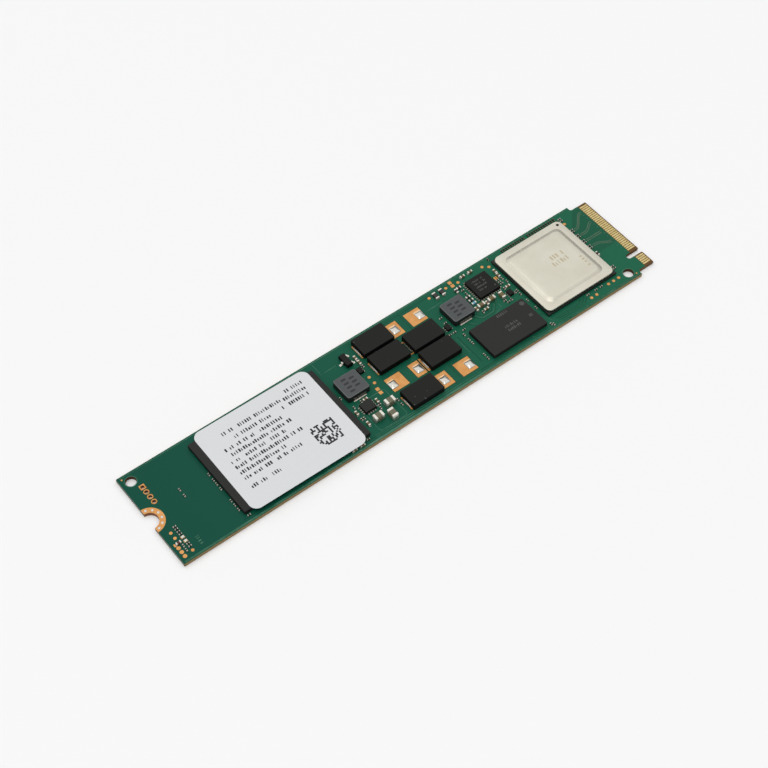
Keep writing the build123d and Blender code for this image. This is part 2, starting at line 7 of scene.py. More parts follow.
import bpy
import numpy as np
from bpy.props import FloatProperty, FloatVectorProperty, IntProperty, PointerProperty
from mathutils import Matrix, Vector


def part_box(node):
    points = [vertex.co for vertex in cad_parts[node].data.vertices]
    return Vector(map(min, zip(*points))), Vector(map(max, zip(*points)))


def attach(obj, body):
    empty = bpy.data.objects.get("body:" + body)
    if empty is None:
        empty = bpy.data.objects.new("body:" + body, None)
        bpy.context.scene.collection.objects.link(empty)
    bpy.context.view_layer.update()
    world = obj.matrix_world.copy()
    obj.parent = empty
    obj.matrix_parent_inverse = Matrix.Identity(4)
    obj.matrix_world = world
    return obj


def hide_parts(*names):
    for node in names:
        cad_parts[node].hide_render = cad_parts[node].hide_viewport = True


bl_info = {
    "name": "Card-edge drive looks",
    "version": (1, 0, 0),
    "blender": (4, 5, 0),
    "location": "3D View > Sidebar > Drive",
    "description": "Dresses the packed solids of a card-edge solid state drive",
    "category": "Object",
}

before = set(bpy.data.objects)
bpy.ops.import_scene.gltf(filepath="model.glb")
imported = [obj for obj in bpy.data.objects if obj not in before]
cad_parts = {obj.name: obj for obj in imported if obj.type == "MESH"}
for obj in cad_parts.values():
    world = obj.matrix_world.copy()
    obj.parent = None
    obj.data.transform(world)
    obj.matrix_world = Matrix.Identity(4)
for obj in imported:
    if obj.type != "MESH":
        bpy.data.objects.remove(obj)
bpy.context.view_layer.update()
MM = 0.001
BODY = "root"


def linear(red, green, blue):
    """A display colour, 0 to 255, as linear light with full alpha."""
    level = np.array([red, green, blue]) / 255
    bright = ((level + 0.055) / 1.055) ** 2.4
    return (*np.where(level <= 0.04045, level / 12.92, bright).tolist(), 1.0)


def colour_property(name, description, red, green, blue):
    """A colour that the user can change, given as a display colour."""
    return FloatVectorProperty(
        name=name,
        description=description,
        subtype="COLOR",
        size=4,
        min=0,
        max=1,
        default=linear(red, green, blue),
    )


def length_property(name, description, millimetres):
    """A length that the user can change, given in millimetres."""
    return FloatProperty(name=name, description=description, unit="LENGTH", default=millimetres * MM)


def share_property(name, description, share):
    """A share from 0 to 1 that the user can change."""
    return FloatProperty(name=name, description=description, subtype="FACTOR", min=0, max=1, default=share)


def solid_box(node):
    """Lowest and highest corner of a CAD node, in millimetres."""
    low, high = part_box(node)
    return np.array(low) / MM, np.array(high) / MM


def middle_of(low, high):
    """Middles of boxes as seen from above, in X and Y."""
    return (low + high)[..., :2] / 2


board_low, board_high = solid_box("circuit_board")
BOARD_TOP = board_high[2]
# The mask ends just before the contacts begin
MASK_END = solid_box("edge_contacts_top")[0][0] - 0.1
# Thin pieces reach this far into what carries them
SINK = 0.01


# Settings


class BoardLook(bpy.types.PropertyGroup):
    """Colours and line sizes of the board."""

    mask: colour_property("Solder mask", "Mask towards the contact tongue", 26, 97, 71)
    mask_dark: colour_property("Mask shade", "Mask towards the screw notch", 6, 76, 60)
    mask_bare: colour_property("Mask over laminate", "Mask where no copper lies under it", 22, 66, 49)
    mask_pale: colour_property("Mask over lines", "Mask where it thins over copper lines", 72, 122, 98)
    # Also painted shade: at the mask steps round the lands, and as a capacitor's shadow
    mask_sunk_and_shade: colour_property("Mask in gaps", "Mask that has sunk between copper fields", 14, 52, 38)
    pair: colour_property("Mask over pairs", "Mask where it thins over signal pairs", 78, 104, 78)
    pair_dark: colour_property("Pair shade", "Darker parts of the mask over signal pairs", 50, 92, 68)
    laminate: colour_property("Laminate", "Cut long edges of the board", 147, 126, 88)
    laminate_layer: colour_property("Laminate layers", "Darker layers in the long edges", 122, 94, 60)
    laminate_dark: colour_property("Laminate walls", "Walls of holes and slots", 84, 56, 38)
    end_wall: colour_property("Notch end", "Cut wall at the notch end", 122, 120, 112)
    tongue: colour_property("Tongue", "Bare faces and walls of the contact tongue", 104, 76, 47)
    copper: colour_property("Copper", "Bare copper lands", 221, 160, 91)
    copper_dark: colour_property("Copper tarnish", "Tarnished parts of the copper", 206, 142, 74)
    # Painted shade on upright copper faces, such as the notch's plated wall
    copper_wall_shade: colour_property("Copper walls", "Plated wall of the screw notch", 118, 70, 34)
    # Near black: painted shade inside the header holes
    bore: colour_property("Header bores", "Plated walls of the header holes", 30, 15, 10)
    gold: colour_property("Gold", "Plating of the edge contacts", 226, 206, 146)
    gold_dark: colour_property("Gold wear", "Worn parts of the plating", 196, 172, 108)
    line_width: length_property("Line width", "Width of the raised lines under the mask", 0.16)
    line_rise: length_property("Line rise", "Height of the raised lines under the mask", 0.012)


class PartLook(bpy.types.PropertyGroup):
    """Colours and roundings of the parts on the board."""

    package: colour_property("Package", "Moulded memory packages and regulator", 50, 50, 49)
    flat_chip: colour_property("Flat chips", "Moulded power chip, logic chips and transistor", 35, 35, 34)
    package_print: colour_property("Package print", "Faint marks on moulded packages", 88, 88, 85)
    dimple: colour_property("Package dimples", "First-lead marks of moulded packages", 72, 72, 70)
    ball_resin: colour_property("Ball fields", "Underfill round the solder balls", 22, 24, 22)
    capacitor: colour_property("Hold-up capacitor", "Moulded capacitor bodies", 40, 41, 39)
    inductor: colour_property("Inductor", "Pressed powder of the inductors", 76, 79, 80)
    inductor_ink: colour_property("Inductor print", "Printed bars on the inductors", 44, 45, 48)
    nickel: colour_property("Lid", "Matt nickel of the controller lid", 218, 214, 199)
    nickel_dark: colour_property("Lid shade", "Duller patches of the lid", 210, 205, 189)
    lid_mark: colour_property("Lid marks", "Faint marks burnt into the lid", 198, 188, 160)
    lid_mark_dark: colour_property("Lid mark shade", "Darker parts of the lid marks", 188, 178, 150)
    seal: colour_property("Lid seal", "Resin under the lid, and its vent", 14, 14, 14)
    substrate: colour_property("Substrate", "Laminate under the controller lid", 26, 34, 30)
    silicon: colour_property("Silicon", "Die under the controller lid", 64, 66, 72)
    tin: colour_property("Tin", "End caps of larger chips, transistor leads", 234, 231, 221)
    tin_dark: colour_property("Tin shade", "Duller parts of end caps and leads", 216, 210, 197)
    dull_tin: colour_property("Dull tin", "End caps of the smallest chips", 168, 162, 148)
    # Painted shade of the row behind the controller's lid
    far_tin_shade: colour_property("Far tin", "End caps in the row behind the controller", 106, 104, 84)
    lead_tin: colour_property("Lead tin", "Leads of the flat chips", 148, 144, 132)
    # Painted shade on the inductors' tin straps
    strap_shade: colour_property("Straps", "Dark straps of the inductors", 64, 64, 62)
    solder: colour_property("Solder", "Bright solder", 206, 207, 203)
    # Pale copper beside the solder: partly solder-wet copper, partly a painted highlight
    wetted_highlight: colour_property("Wetted copper", "Copper beside solder on empty places", 252, 214, 170)
    wetted_highlight_dark: colour_property("Wetted shade", "Duller parts of the wetted copper", 240, 188, 132)
    ceramic: colour_property("Ceramic", "Tan ceramic chips", 108, 94, 62)
    large_ceramic: colour_property("Large ceramic", "Grey olive ceramic chips", 106, 103, 82)
    brown_ceramic: colour_property("Brown ceramic", "Smallest ceramic chips", 28, 20, 17)
    resistor: colour_property("Resistor", "Glassy black chips", 34, 26, 25)
    bead: colour_property("Bead", "Blue chip", 96, 158, 184)
    indicator: colour_property("Indicator", "Resin of the indicator", 92, 56, 48)
    rim: length_property("Rim", "Rounding of moulded upper rims", 0.06)
    inductor_rim: length_property("Inductor rim", "Rounding of the inductors' upper rims", 0.2)
    fillet_reach: length_property("Fillet reach", "How far solder runs out from a chip's end", 0.1)


class LabelLook(bpy.types.PropertyGroup):
    """Paper and print of the label."""

    paper: colour_property("Paper", "White label stock", 221, 222, 224)
    paper_shade: colour_property("Paper shade", "Shade of the paper's fibres", 216, 217, 219)
    ink: colour_property("Ink", "Printed marks", 36, 36, 40)
    mark_height: length_property("Mark height", "Height of a row of marks", 0.78)
    ink_rise: length_property("Ink rise", "Thickness of the print", 0.006)
    code_cells: IntProperty(name="Code cells", description="Cells along the square pattern", default=14)
    code_size: length_property("Code size", "Side of the square pattern", 4.9)


class StageLook(bpy.types.PropertyGroup):
    """Floor, light and camera."""

    floor: colour_property("Floor", "Pale floor", 250, 250, 250)
    floor_size: length_property("Floor size", "Side of the floor", 3200)
    softbox_size: length_property("Softbox size", "Side of the overhead softbox", 3250)
    softbox_height: length_property("Softbox height", "Height of the softbox", 3500)
    softbox_left: length_property("Softbox left", "Distance of the softbox towards the notch end", 825)
    softbox_near: length_property("Softbox near", "Distance of the softbox towards the near edge", 375)
    softbox_power: FloatProperty(name="Softbox power", description="Watts", default=46.5, unit="POWER")
    sky: FloatProperty(name="Sky", description="Strength of the room's light overhead", default=1.085)
    front: share_property("Front", "Share of the light from the front", 0.45)
    side: share_property("Side", "Share of the light from the tongue end", 0.55)
    shade: share_property("Shade", "Light just above the horizon", 0.06)
    horizon: share_property("Horizon", "Light at the horizon", 0.92)
    lens: length_property("Lens", "Focal length on a 36 mm sensor", 79.005)


# Mesh building


def new_piece(name, shape, material, smooth=True):
    """A mesh object from a shape in millimetres (points, quads, triangles), riding on the board."""
    points, quads, triangles = shape
    mesh = bpy.data.meshes.new(name)
    mesh.from_pydata((points * MM).tolist(), [], quads.tolist() + triangles.tolist())
    mesh.polygons.foreach_set("use_smooth", np.full(len(mesh.polygons), smooth))
    mesh.materials.append(material)
    mesh.update()
    piece = bpy.data.objects.new(name, mesh)
    bpy.context.scene.collection.objects.link(piece)
    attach(piece, BODY)
    return piece


def dress(node, material):
    """Give a CAD node its finish."""
    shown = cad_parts[node].data
    shown.materials.clear()
    shown.materials.append(material)


def solids_of(node):
    """Boxes (low, high) and corner counts of the separate solids in a CAD node, in millimetres.

    Corners are welded by place, then each takes the lowest number among its triangles'
    corners until nothing changes, so every solid ends with one number of its own.
    """
    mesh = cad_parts[node].data
    points = np.empty(3 * len(mesh.vertices))
    mesh.vertices.foreach_get("co", points)
    corners = np.empty(len(mesh.loops), int)
    mesh.loops.foreach_get("vertex_index", corners)
    places, welded = np.unique(np.round(points.reshape(-1, 3) / MM, 4), axis=0, return_inverse=True)
    triangles = welded.reshape(-1)[corners].reshape(-1, 3)
    number = np.arange(len(places))
    while True:
        lowest = number.copy()
        np.minimum.at(lowest, triangles, number[triangles].min(axis=1)[:, None])
        if np.array_equal(lowest, number):
            break
        number = lowest
    solid = np.unique(number, return_inverse=True)[1].reshape(-1)
    count = solid.max() + 1
    low = np.full((count, 3), np.inf)
    high = np.full((count, 3), -np.inf)
    np.minimum.at(low, solid, places)
    np.maximum.at(high, solid, places)
    return low, high, np.bincount(solid)


def outward_of(low, high, bodies):
    """Way out, along X or Y, of each box from the middle of the nearest solid in some nodes."""
    boxes = [solids_of(name) for name in bodies]
    middles = np.concatenate([middle_of(start, end) for start, end, _ in boxes])
    away = middle_of(low, high)[:, None] - middles
    away = away[np.arange(len(low)), np.argmin(np.linalg.norm(away, axis=2), axis=1)]
    longer = np.abs(away) == np.abs(away).max(axis=1, keepdims=True)
    return np.sign(away) * longer


def rounded_outline(half, corner, steps):
    """Rounded rectangles of half sizes (..., 2) and corner radii (...).

    Each quarter is the corner's centre, half size less radius, plus radius times (cos, sin).
    """
    turn = np.arange(4)[:, None] * np.pi / 2 + np.linspace(0, np.pi / 2, steps + 1)
    unit = np.stack([np.cos(turn), np.sin(turn)], -1)
    side = np.array([[1, 1], [-1, 1], [-1, -1], [1, -1]])[:, None, :]
    half = np.asarray(half, float)[..., None, None, :]
    corner = np.asarray(corner, float)[..., None, None, None]
    shape = side * (half - corner) + corner * unit
    return shape.reshape(*shape.shape[:-3], -1, 2)


def circle(radius, count):
    """Circles of radii (...): radius times (cos, sin) of evenly spaced angles."""
    turn = 2 * np.pi * (np.arange(count) + 0.5) / count
    return np.asarray(radius, float)[..., None, None] * np.stack([np.cos(turn), np.sin(turn)], -1)


def stacked_rings(outlines, centres, levels):
    """Closed bodies from rings: outlines (n, r, p, 2) about centres (n, r, 2) at levels (n, r).

    Neighbouring rings are joined by quads, and a fan closes the first and the last one.
    """
    count, rings, around, _ = outlines.shape
    flat = outlines + centres[:, :, None, :]
    height = np.broadcast_to(levels[..., None, None], (count, rings, around, 1))
    skin = np.concatenate([flat, height], -1).reshape(count, rings * around, 3)
    ends = np.concatenate([centres, levels[..., None]], -1)[:, [0, -1]]
    points = np.concatenate([skin, ends], 1)
    here = np.arange(around)
    after = (here + 1) % around
    step = around * np.arange(rings - 1)[:, None]
    quads = np.stack([step + here, step + after, step + around + after, step + around + here], -1)
    last = around * (rings - 1)
    base = np.stack([np.full(around, rings * around), after, here], -1)
    crown = np.stack([last + here, last + after, np.full(around, rings * around + 1)], -1)
    first = points.shape[1] * np.arange(count)[:, None, None]
    quads = (quads.reshape(1, -1, 4) + first).reshape(-1, 4)
    fans = (np.concatenate([base, crown])[None] + first).reshape(-1, 3)
    return points.reshape(-1, 3), quads, fans


def moulded(low, high, corner, rim, draft=0.0, steps=4, bends=4):
    """Blocks in boxes low to high (n, 3), with drafted sides and a rounded upper rim.

    The rim turns from upright to flat: its inset is draft + rim (1 - cos t) and its depth
    below the top is rim (1 - sin t). Close rings beside the flat faces keep them flat.
    """
    low, high = np.atleast_2d(low), np.atleast_2d(high)
    turn = np.linspace(0, np.pi / 2, bends + 1)
    hold, least_corner = 0.25 * rim, 0.3 * corner
    inset = np.concatenate([[0, 0], draft + rim * (1 - np.cos(turn)), [draft + rim + hold]])
    drop = np.concatenate([rim * (1 - np.sin(turn)), [0]])
    foot = np.tile([0, hold], (len(low), 1)) + low[:, 2:]
    levels = np.concatenate([foot, high[:, 2:] - drop], 1)
    half = (high - low)[:, None, :2] / 2 - inset[:, None]
    radius = np.broadcast_to(np.maximum(corner - inset, least_corner), half.shape[:2])
    centres = np.broadcast_to(middle_of(low, high)[:, None], half.shape)
    return stacked_rings(rounded_outline(half, radius, steps), centres, levels)


def domes(low, high, corner, steps=4, rings=7, lump=0.16):
    """Lumpy pillows on boxes low to high (n, 3), each on a low upright foot.

    A ring of share s of the outline lies at height 1 - s^2.4 of the box, raised and lowered by
    a slow wave in X and Y.
    """
    last_share, power, foot = 0.12, 2.4, 0.02
    share = np.concatenate([[1.0], np.linspace(1, last_share, rings)])
    half = (high - low)[:, None, :2] / 2 * share[:, None]
    radius = np.broadcast_to(corner * share, half.shape[:2])
    levels = low[:, 2:] + (high - low)[:, 2:] * (1 - share**power)
    levels[:, 0] -= SINK
    levels[:, 1] += foot
    centres = np.broadcast_to(middle_of(low, high)[:, None], half.shape)
    points, quads, fans = stacked_rings(rounded_outline(half, radius, steps), centres, levels)
    x, y, z = points.T
    wave = np.sin(4.1 * x + 2.3 * y) * np.cos(5.2 * y - 1.3 * x)
    points[:, 2] += lump * wave * np.maximum(z - low[:, 2].min() - foot, 0)
    return points, quads, fans


def discs(centres, radius, low, high, rim, count=32):
    """Round plates about centres (n, 2), radius less a small rounded rim at the top."""
    turn = np.linspace(0, np.pi / 2, 3)
    inset = np.concatenate([[0], rim * (1 - np.cos(turn)), [1.5 * rim]])
    level = np.concatenate([[low], high - rim * (1 - np.sin(turn)), [high]])
    radius = np.asarray(radius, float)[:, None] - inset
    spots = np.broadcast_to(np.asarray(centres, float)[:, None, :], (*radius.shape, 2))
    levels = np.broadcast_to(level, radius.shape)
    return stacked_rings(circle(radius, count), spots, levels)


def plates(spots, half, corner, level, rise):
    """Thin plates of half sizes (n, 2) about spots (n, 2), standing rise above a level."""
    half = np.repeat(np.asarray(half, float)[:, None, :], 2, axis=1)
    centres = np.repeat(np.asarray(spots, float)[:, None, :], 2, axis=1)
    levels = np.broadcast_to(np.array([level - SINK, level + rise]), half.shape[:2])
    radius = np.broadcast_to(corner, half.shape[:2])
    return stacked_rings(rounded_outline(half, radius, 1), centres, levels)


def fillets(low, high, outward, reach, side, climb, rings=5):
    """Solder skirts round boxes low to high (n, 3), running out towards outward (n, 2).

    At share s of the climb the skirt stands out by (1 - s)^2, and a thin skin, of reach on the
    outward side and of side on the two flanks.
    """
    skin, corner = 0.02, 0.04
    share = np.linspace(0, 1, rings)
    stand = (1 - share[:, None]) ** 2 + skin
    ahead = reach * np.maximum(outward, 0) + side * (outward == 0)
    behind = reach * np.maximum(-outward, 0) + side * (outward == 0)
    far = high[:, None, :2] + stand * ahead[:, None]
    near = low[:, None, :2] - stand * behind[:, None]
    half, centres = (far - near) / 2, (far + near) / 2
    levels = low[:, 2:] + climb * share * (high - low)[:, 2:]
    radius = np.broadcast_to(corner, half.shape[:2])
    return stacked_rings(rounded_outline(half, radius, 1), centres, levels)


def collars(centres, inner, outer, corner, low, high, steps=7):
    """Plates with a round hole: a circle inside, a rounded square outside, top and bottom alike."""
    around = 4 * (steps + 1)
    hole = circle(np.array(inner), around)
    plate = rounded_outline(np.array([outer, outer]), np.array(corner), steps)
    loop = np.stack([plate, plate, hole, hole])
    level = np.array([low, high, high, low])
    height = np.broadcast_to(level[:, None, None], (4, around, 1))
    one = np.concatenate([loop, height], -1)
    offset = np.pad(np.asarray(centres, float), ((0, 0), (0, 1)))
    points = (one.reshape(1, -1, 3) + offset[:, None, :]).reshape(-1, 3)
    here = np.arange(around)
    after = (here + 1) % around
    row = around * np.arange(4)[:, None]
    up = around * ((np.arange(4) + 1) % 4)[:, None]
    quads = np.stack([row + here, row + after, up + after, up + here], -1).reshape(1, -1, 4)
    first = 4 * around * np.arange(len(offset))[:, None, None]
    return points, (quads + first).reshape(-1, 4), np.empty((0, 3), int)


def raised_line(path, width, rise, closed=False):
    """A low bar on the board along a path (k, 2): a flat-topped profile, square to its direction."""
    path = np.asarray(path, float)
    ahead = np.roll(path, -1, 0) - path
    behind = path - np.roll(path, 1, 0)
    if not closed:
        ahead[-1], behind[0] = behind[-1], ahead[0]
    ahead /= np.linalg.norm(ahead, axis=1, keepdims=True)
    behind /= np.linalg.norm(behind, axis=1, keepdims=True)
    along = ahead + behind
    along /= np.linalg.norm(along, axis=1, keepdims=True)
    across = np.stack([-along[:, 1], along[:, 0]], -1) / np.sum(along * ahead, 1, keepdims=True)
    foot, top, sunk = 0.5, 0.3, 0.5
    offset = width * np.array([foot, top, -top, -foot])
    height = BOARD_TOP + rise * np.array([-sunk, 1, 1, -sunk])
    flat = path[:, None, :] + across[:, None, :] * offset[:, None]
    tall = np.broadcast_to(height[:, None], (len(path), 4, 1))
    points = np.concatenate([flat, tall], -1).reshape(-1, 3)
    stations = len(path) if closed else len(path) - 1
    here = 4 * np.arange(stations)[:, None]
    next_one = 4 * ((np.arange(stations) + 1) % len(path))[:, None]
    side = np.arange(4)
    turn = (side + 1) % 4
    quads = np.stack([here + side, next_one + side, next_one + turn, here + turn], -1).reshape(-1, 4)
    ends = np.array([[0, 1, 2, 3], 4 * (len(path) - 1) + np.array([3, 2, 1, 0])])
    quads = quads if closed else np.concatenate([quads, ends])
    return points, quads, np.empty((0, 3), int)


def raised_lines(paths, width, rise, closed=False):
    """Low bars of one width along several paths."""
    return [raised_line(path, width, rise, closed) for path in paths]


def sway(start, end, samples=14):
    """A path that leaves and arrives level: y eases from one end to the other by 3 t^2 - 2 t^3."""
    share = np.linspace(0, 1, samples)
    ease = share**2 * (3 - 2 * share)
    start, end = np.array(start, float), np.array(end, float)
    return np.stack([start[0] + (end - start)[0] * share, start[1] + (end - start)[1] * ease], -1)


def tick_rows(rows, height, chance, pitch=0.5, words=0.14):
    """Upright ticks along rows (start, level, length): their middles and half sizes.

    Ticks stand a pitch apart, each of a width and height drawn by chance, and a given share of
    them is left out, which parts a row into words.
    """
    least_width, width_range, short_share, short_height = 0.3, 0.4, 0.35, 0.72
    count = int(rows[:, 2].max() / pitch)
    along = np.arange(count) * pitch
    kept = (along < rows[:, 2:]) & (chance.random((len(rows), count)) > words)
    wide = pitch * (least_width + width_range * chance.random(kept.shape))
    tall = height * np.where(chance.random(kept.shape) < short_share, short_height, 1.0)
    middle = np.stack([rows[:, :1] + along + wide / 2, rows[:, 1:2] + (tall - height) / 2], -1)
    return middle[kept], np.stack([wide, tall], -1)[kept] / 2


def joined(*shapes):
    """Several shapes as one."""
    starts = np.cumsum([0] + [len(points) for points, _, _ in shapes[:-1]])
    points = np.concatenate([points for points, _, _ in shapes])
    quads = np.concatenate([quads + start for start, (_, quads, _) in zip(starts, shapes)])
    triangles = np.concatenate([fans + start for start, (_, _, fans) in zip(starts, shapes)])
    return points, quads, triangles


# Materials: nodes


def link_in(tree, socket, value):
    """Feed a socket from another one, or set it."""
    if isinstance(value, bpy.types.NodeSocket):
        tree.links.new(value, socket)
    else:
        socket.default_value = value


def node(tree, kind, inputs=None, **settings):
    """A new shader node with its settings and its inputs by name or number."""
    made = tree.nodes.new(kind)
    for key, value in settings.items():
        setattr(made, key, value)
    for key, value in (inputs or {}).items():
        link_in(tree, made.inputs[key], value)
    return made


def maths(tree, operation, *values, clamp=False):
    """The result of a maths node."""
    made = node(tree, "ShaderNodeMath", dict(enumerate(values)), operation=operation, use_clamp=clamp)
    return made.outputs[0]


def times(tree, first, *others):
    """The product of several values."""
    for other in others:
        first = maths(tree, "MULTIPLY", first, other)
    return first


def mixed(tree, share, first, second, blend="MIX"):
    """Two colours mixed by a share."""
    made = node(tree, "ShaderNodeMix", data_type="RGBA", blend_type=blend)
    for number, value in {0: share, 6: first, 7: second}.items():
        link_in(tree, made.inputs[number], value)
    return made.outputs[2]


def toned(tree, colour, tone):
    """A colour made darker or lighter by a grey tone."""
    grey = node(tree, "ShaderNodeCombineColor", {0: tone, 1: tone, 2: tone})
    return mixed(tree, 1.0, colour, grey.outputs[0], "MULTIPLY")


def spread(tree, value, low, high, to_low=0.0, to_high=1.0):
    """A value mapped from one range to another, and kept in it."""
    return node(tree, "ShaderNodeMapRange", {0: value, 1: low, 2: high, 3: to_low, 4: to_high}).outputs[0]


def noise(tree, where, scale, detail=2.0, roughness=0.5):
    """Cloudy noise from 0 to 1."""
    inputs = {"Vector": where, "Scale": scale, "Detail": detail, "Roughness": roughness}
    return node(tree, "ShaderNodeTexNoise", inputs).outputs["Fac"]


def place(tree):
    """Object coordinates in millimetres."""
    where = tree.nodes.new("ShaderNodeTexCoord").outputs["Object"]
    scaled = node(tree, "ShaderNodeVectorMath", {0: where, "Scale": 1 / MM}, operation="SCALE")
    return scaled.outputs[0]


def axes_of(tree, where):
    """X, Y and Z of a place or direction."""
    return node(tree, "ShaderNodeSeparateXYZ", {0: where}).outputs


def levelness(tree):
    """0 on upright faces up to 1 on level ones: the size of the upright part of the surface normal."""
    normal = tree.nodes.new("ShaderNodeTexCoord").outputs["Normal"]
    return maths(tree, "ABSOLUTE", axes_of(tree, normal)[2])


def side_wall(tree):
    """1 on upright faces and 0 on level ones."""
    return maths(tree, "LESS_THAN", levelness(tree), 0.5)


def sloping(tree, rising, falling):
    """A mask of slopes: it rises over one range of levelness, and falls towards level faces."""
    level = levelness(tree)
    return times(tree, spread(tree, level, *rising), spread(tree, level, *falling))


def zone(tree, axes, west, east, south, north, soft):
    """A rectangle in X and Y as a mask with soft borders."""
    return times(
        tree,
        spread(tree, axes[0], west - soft, west + soft),
        spread(tree, axes[0], east + soft, east - soft),
        spread(tree, axes[1], south - soft, south + soft),
        spread(tree, axes[1], north + soft, north - soft),
    )


def new_group(name, values, results):
    """A shader node group that takes a place and values and gives results, with its inner ends."""
    group = bpy.data.node_groups.new(name, "ShaderNodeTree")
    group.interface.new_socket("Vector", in_out="INPUT", socket_type="NodeSocketVector")
    for label in values:
        group.interface.new_socket(label, in_out="INPUT", socket_type="NodeSocketFloat")
    for label in results:
        group.interface.new_socket(label, in_out="OUTPUT", socket_type="NodeSocketFloat")
    return group, group.nodes.new("NodeGroupInput").outputs, group.nodes.new("NodeGroupOutput").inputs


def grain_group():
    """Moulding grain: two sizes of noise as a height, and a shade about 1 of a given contrast."""
    if group := bpy.data.node_groups.get("moulding_grain"):
        return group
    group, given, result = new_group("moulding_grain", ["Scale", "Contrast"], ["Shade", "Height"])
    finer, coarse_share, fine_share = 4.3, 0.55, 0.45
    coarse = noise(group, given["Vector"], given["Scale"])
    fine = noise(group, given["Vector"], times(group, given["Scale"], finer))
    height = maths(group, "ADD", times(group, coarse, coarse_share), times(group, fine, fine_share))
    swing = times(group, maths(group, "SUBTRACT", height, 0.5), given["Contrast"])
    link_in(group, result["Shade"], maths(group, "ADD", swing, 1.0))
    link_in(group, result["Height"], height)
    return group


def tarnish_group():
    """Tarnish on metal: cloudy patches crossed by fine scratches along X, as a mask from 0 to 1."""
    if group := bpy.data.node_groups.get("metal_tarnish"):
        return group
    group, given, result = new_group("metal_tarnish", ["Scale", "Scratches"], ["Mask"])
    along_x, finer = (0.06, 1.0, 1.0), 14.0
    cloud = noise(group, given["Vector"], given["Scale"], detail=4.0, roughness=0.6)
    drawn_out = node(group, "ShaderNodeVectorMath", {0: given["Vector"], 1: along_x}, operation="MULTIPLY")
    lines = noise(group, drawn_out.outputs[0], times(group, given["Scale"], finer))
    scratched = times(group, maths(group, "SUBTRACT", lines, 0.5), given["Scratches"])
    patches = spread(group, cloud, 0.34, 0.68)
    link_in(group, result["Mask"], maths(group, "ADD", patches, scratched, clamp=True))
    return group


def speck_group():
    """Dust specks: cells of which a given share hold a small round spot, as a mask from 0 to 1."""
    if group := bpy.data.node_groups.get("dust_specks"):
        return group
    group, given, result = new_group("dust_specks", ["Scale", "Share"], ["Mask"])
    core, border = 0.08, 0.22
    cells = node(group, "ShaderNodeTexVoronoi", {"Vector": given["Vector"], "Scale": given["Scale"]})
    spot = spread(group, cells.outputs["Distance"], core, border, 1.0, 0.0)
    cell_value = node(group, "ShaderNodeSeparateColor", {0: cells.outputs["Color"]}).outputs[0]
    chosen = maths(group, "LESS_THAN", cell_value, given["Share"])
    link_in(group, result["Mask"], times(group, spot, chosen))
    return group


def grouped(tree, group, inputs):
    """A node group placed in a material with its own values."""
    made = tree.nodes.new("ShaderNodeGroup")
    made.node_tree = group
    for key, value in inputs.items():
        link_in(tree, made.inputs[key], value)
    return made.outputs


def grain_at(tree, where, scale, contrast):
    """Shade and height of moulding grain."""
    return grouped(tree, grain_group(), {"Vector": where, "Scale": scale, "Contrast": contrast})


def tarnish_at(tree, where, scale, scratches):
    """Mask of tarnish and scratches."""
    inputs = {"Vector": where, "Scale": scale, "Scratches": scratches}
    return grouped(tree, tarnish_group(), inputs)["Mask"]


# Materials: finishes

DUST = linear(150, 150, 145)
# Paler colour of the painted highlight on rounded rims
RIM_HIGHLIGHT = linear(158, 160, 160)
# Moulded, fired and printed finishes: scale and contrast of the grain, and what sets one apart
# walls paints shade on upright faces; wear paints a highlight on rounded rims
MOULDED = {
    "moulded_package": dict(
        scale=6.0, contrast=0.5, roughness=0.6, specular=0.07, walls=0.45, specks=0.02
    ),
    "moulded_chip": dict(scale=6.0, contrast=0.5, roughness=0.55, specular=0.1, walls=0.25),
    "package_dimple": dict(scale=8.0, contrast=0.4, roughness=0.45),
    "package_print": dict(scale=3.0, contrast=0.9, roughness=0.6, specular=0.1),
    "dark_resin": dict(scale=4.0, contrast=0.6, roughness=0.6),
    "moulded_capacitor": dict(
        scale=5.0, contrast=0.7, roughness=0.65, specular=0.06, walls=0.28, specks=0.06
    ),
    "inductor_powder": dict(
        scale=7.0, contrast=0.7, roughness=0.4, specular=0.3, walls=0.21, depth=0.03, wear=0.3
    ),
    "inductor_ink": dict(scale=6.0, contrast=0.6, roughness=0.6),
    "substrate_laminate": dict(scale=5.0, contrast=0.6, roughness=0.5),
    "die_silicon": dict(scale=3.0, contrast=0.2, roughness=0.2),
    "seal_resin": dict(scale=5.0, contrast=0.4, roughness=0.7, specular=0.2),
    "tan_ceramic": dict(scale=6.0, contrast=0.5, roughness=0.45),
    "olive_ceramic": dict(scale=5.0, contrast=0.4, roughness=0.45),
    "brown_ceramic": dict(scale=8.0, contrast=0.5, roughness=0.45),
    "resistor_glass": dict(scale=6.0, contrast=0.3, roughness=0.25, specular=0.5),
    "bead_glaze": dict(scale=6.0, contrast=0.4, roughness=0.4),
    "indicator_resin": dict(scale=6.0, contrast=0.4, roughness=0.35),
    "label_ink": dict(scale=5.0, contrast=0.6, roughness=0.5),
}
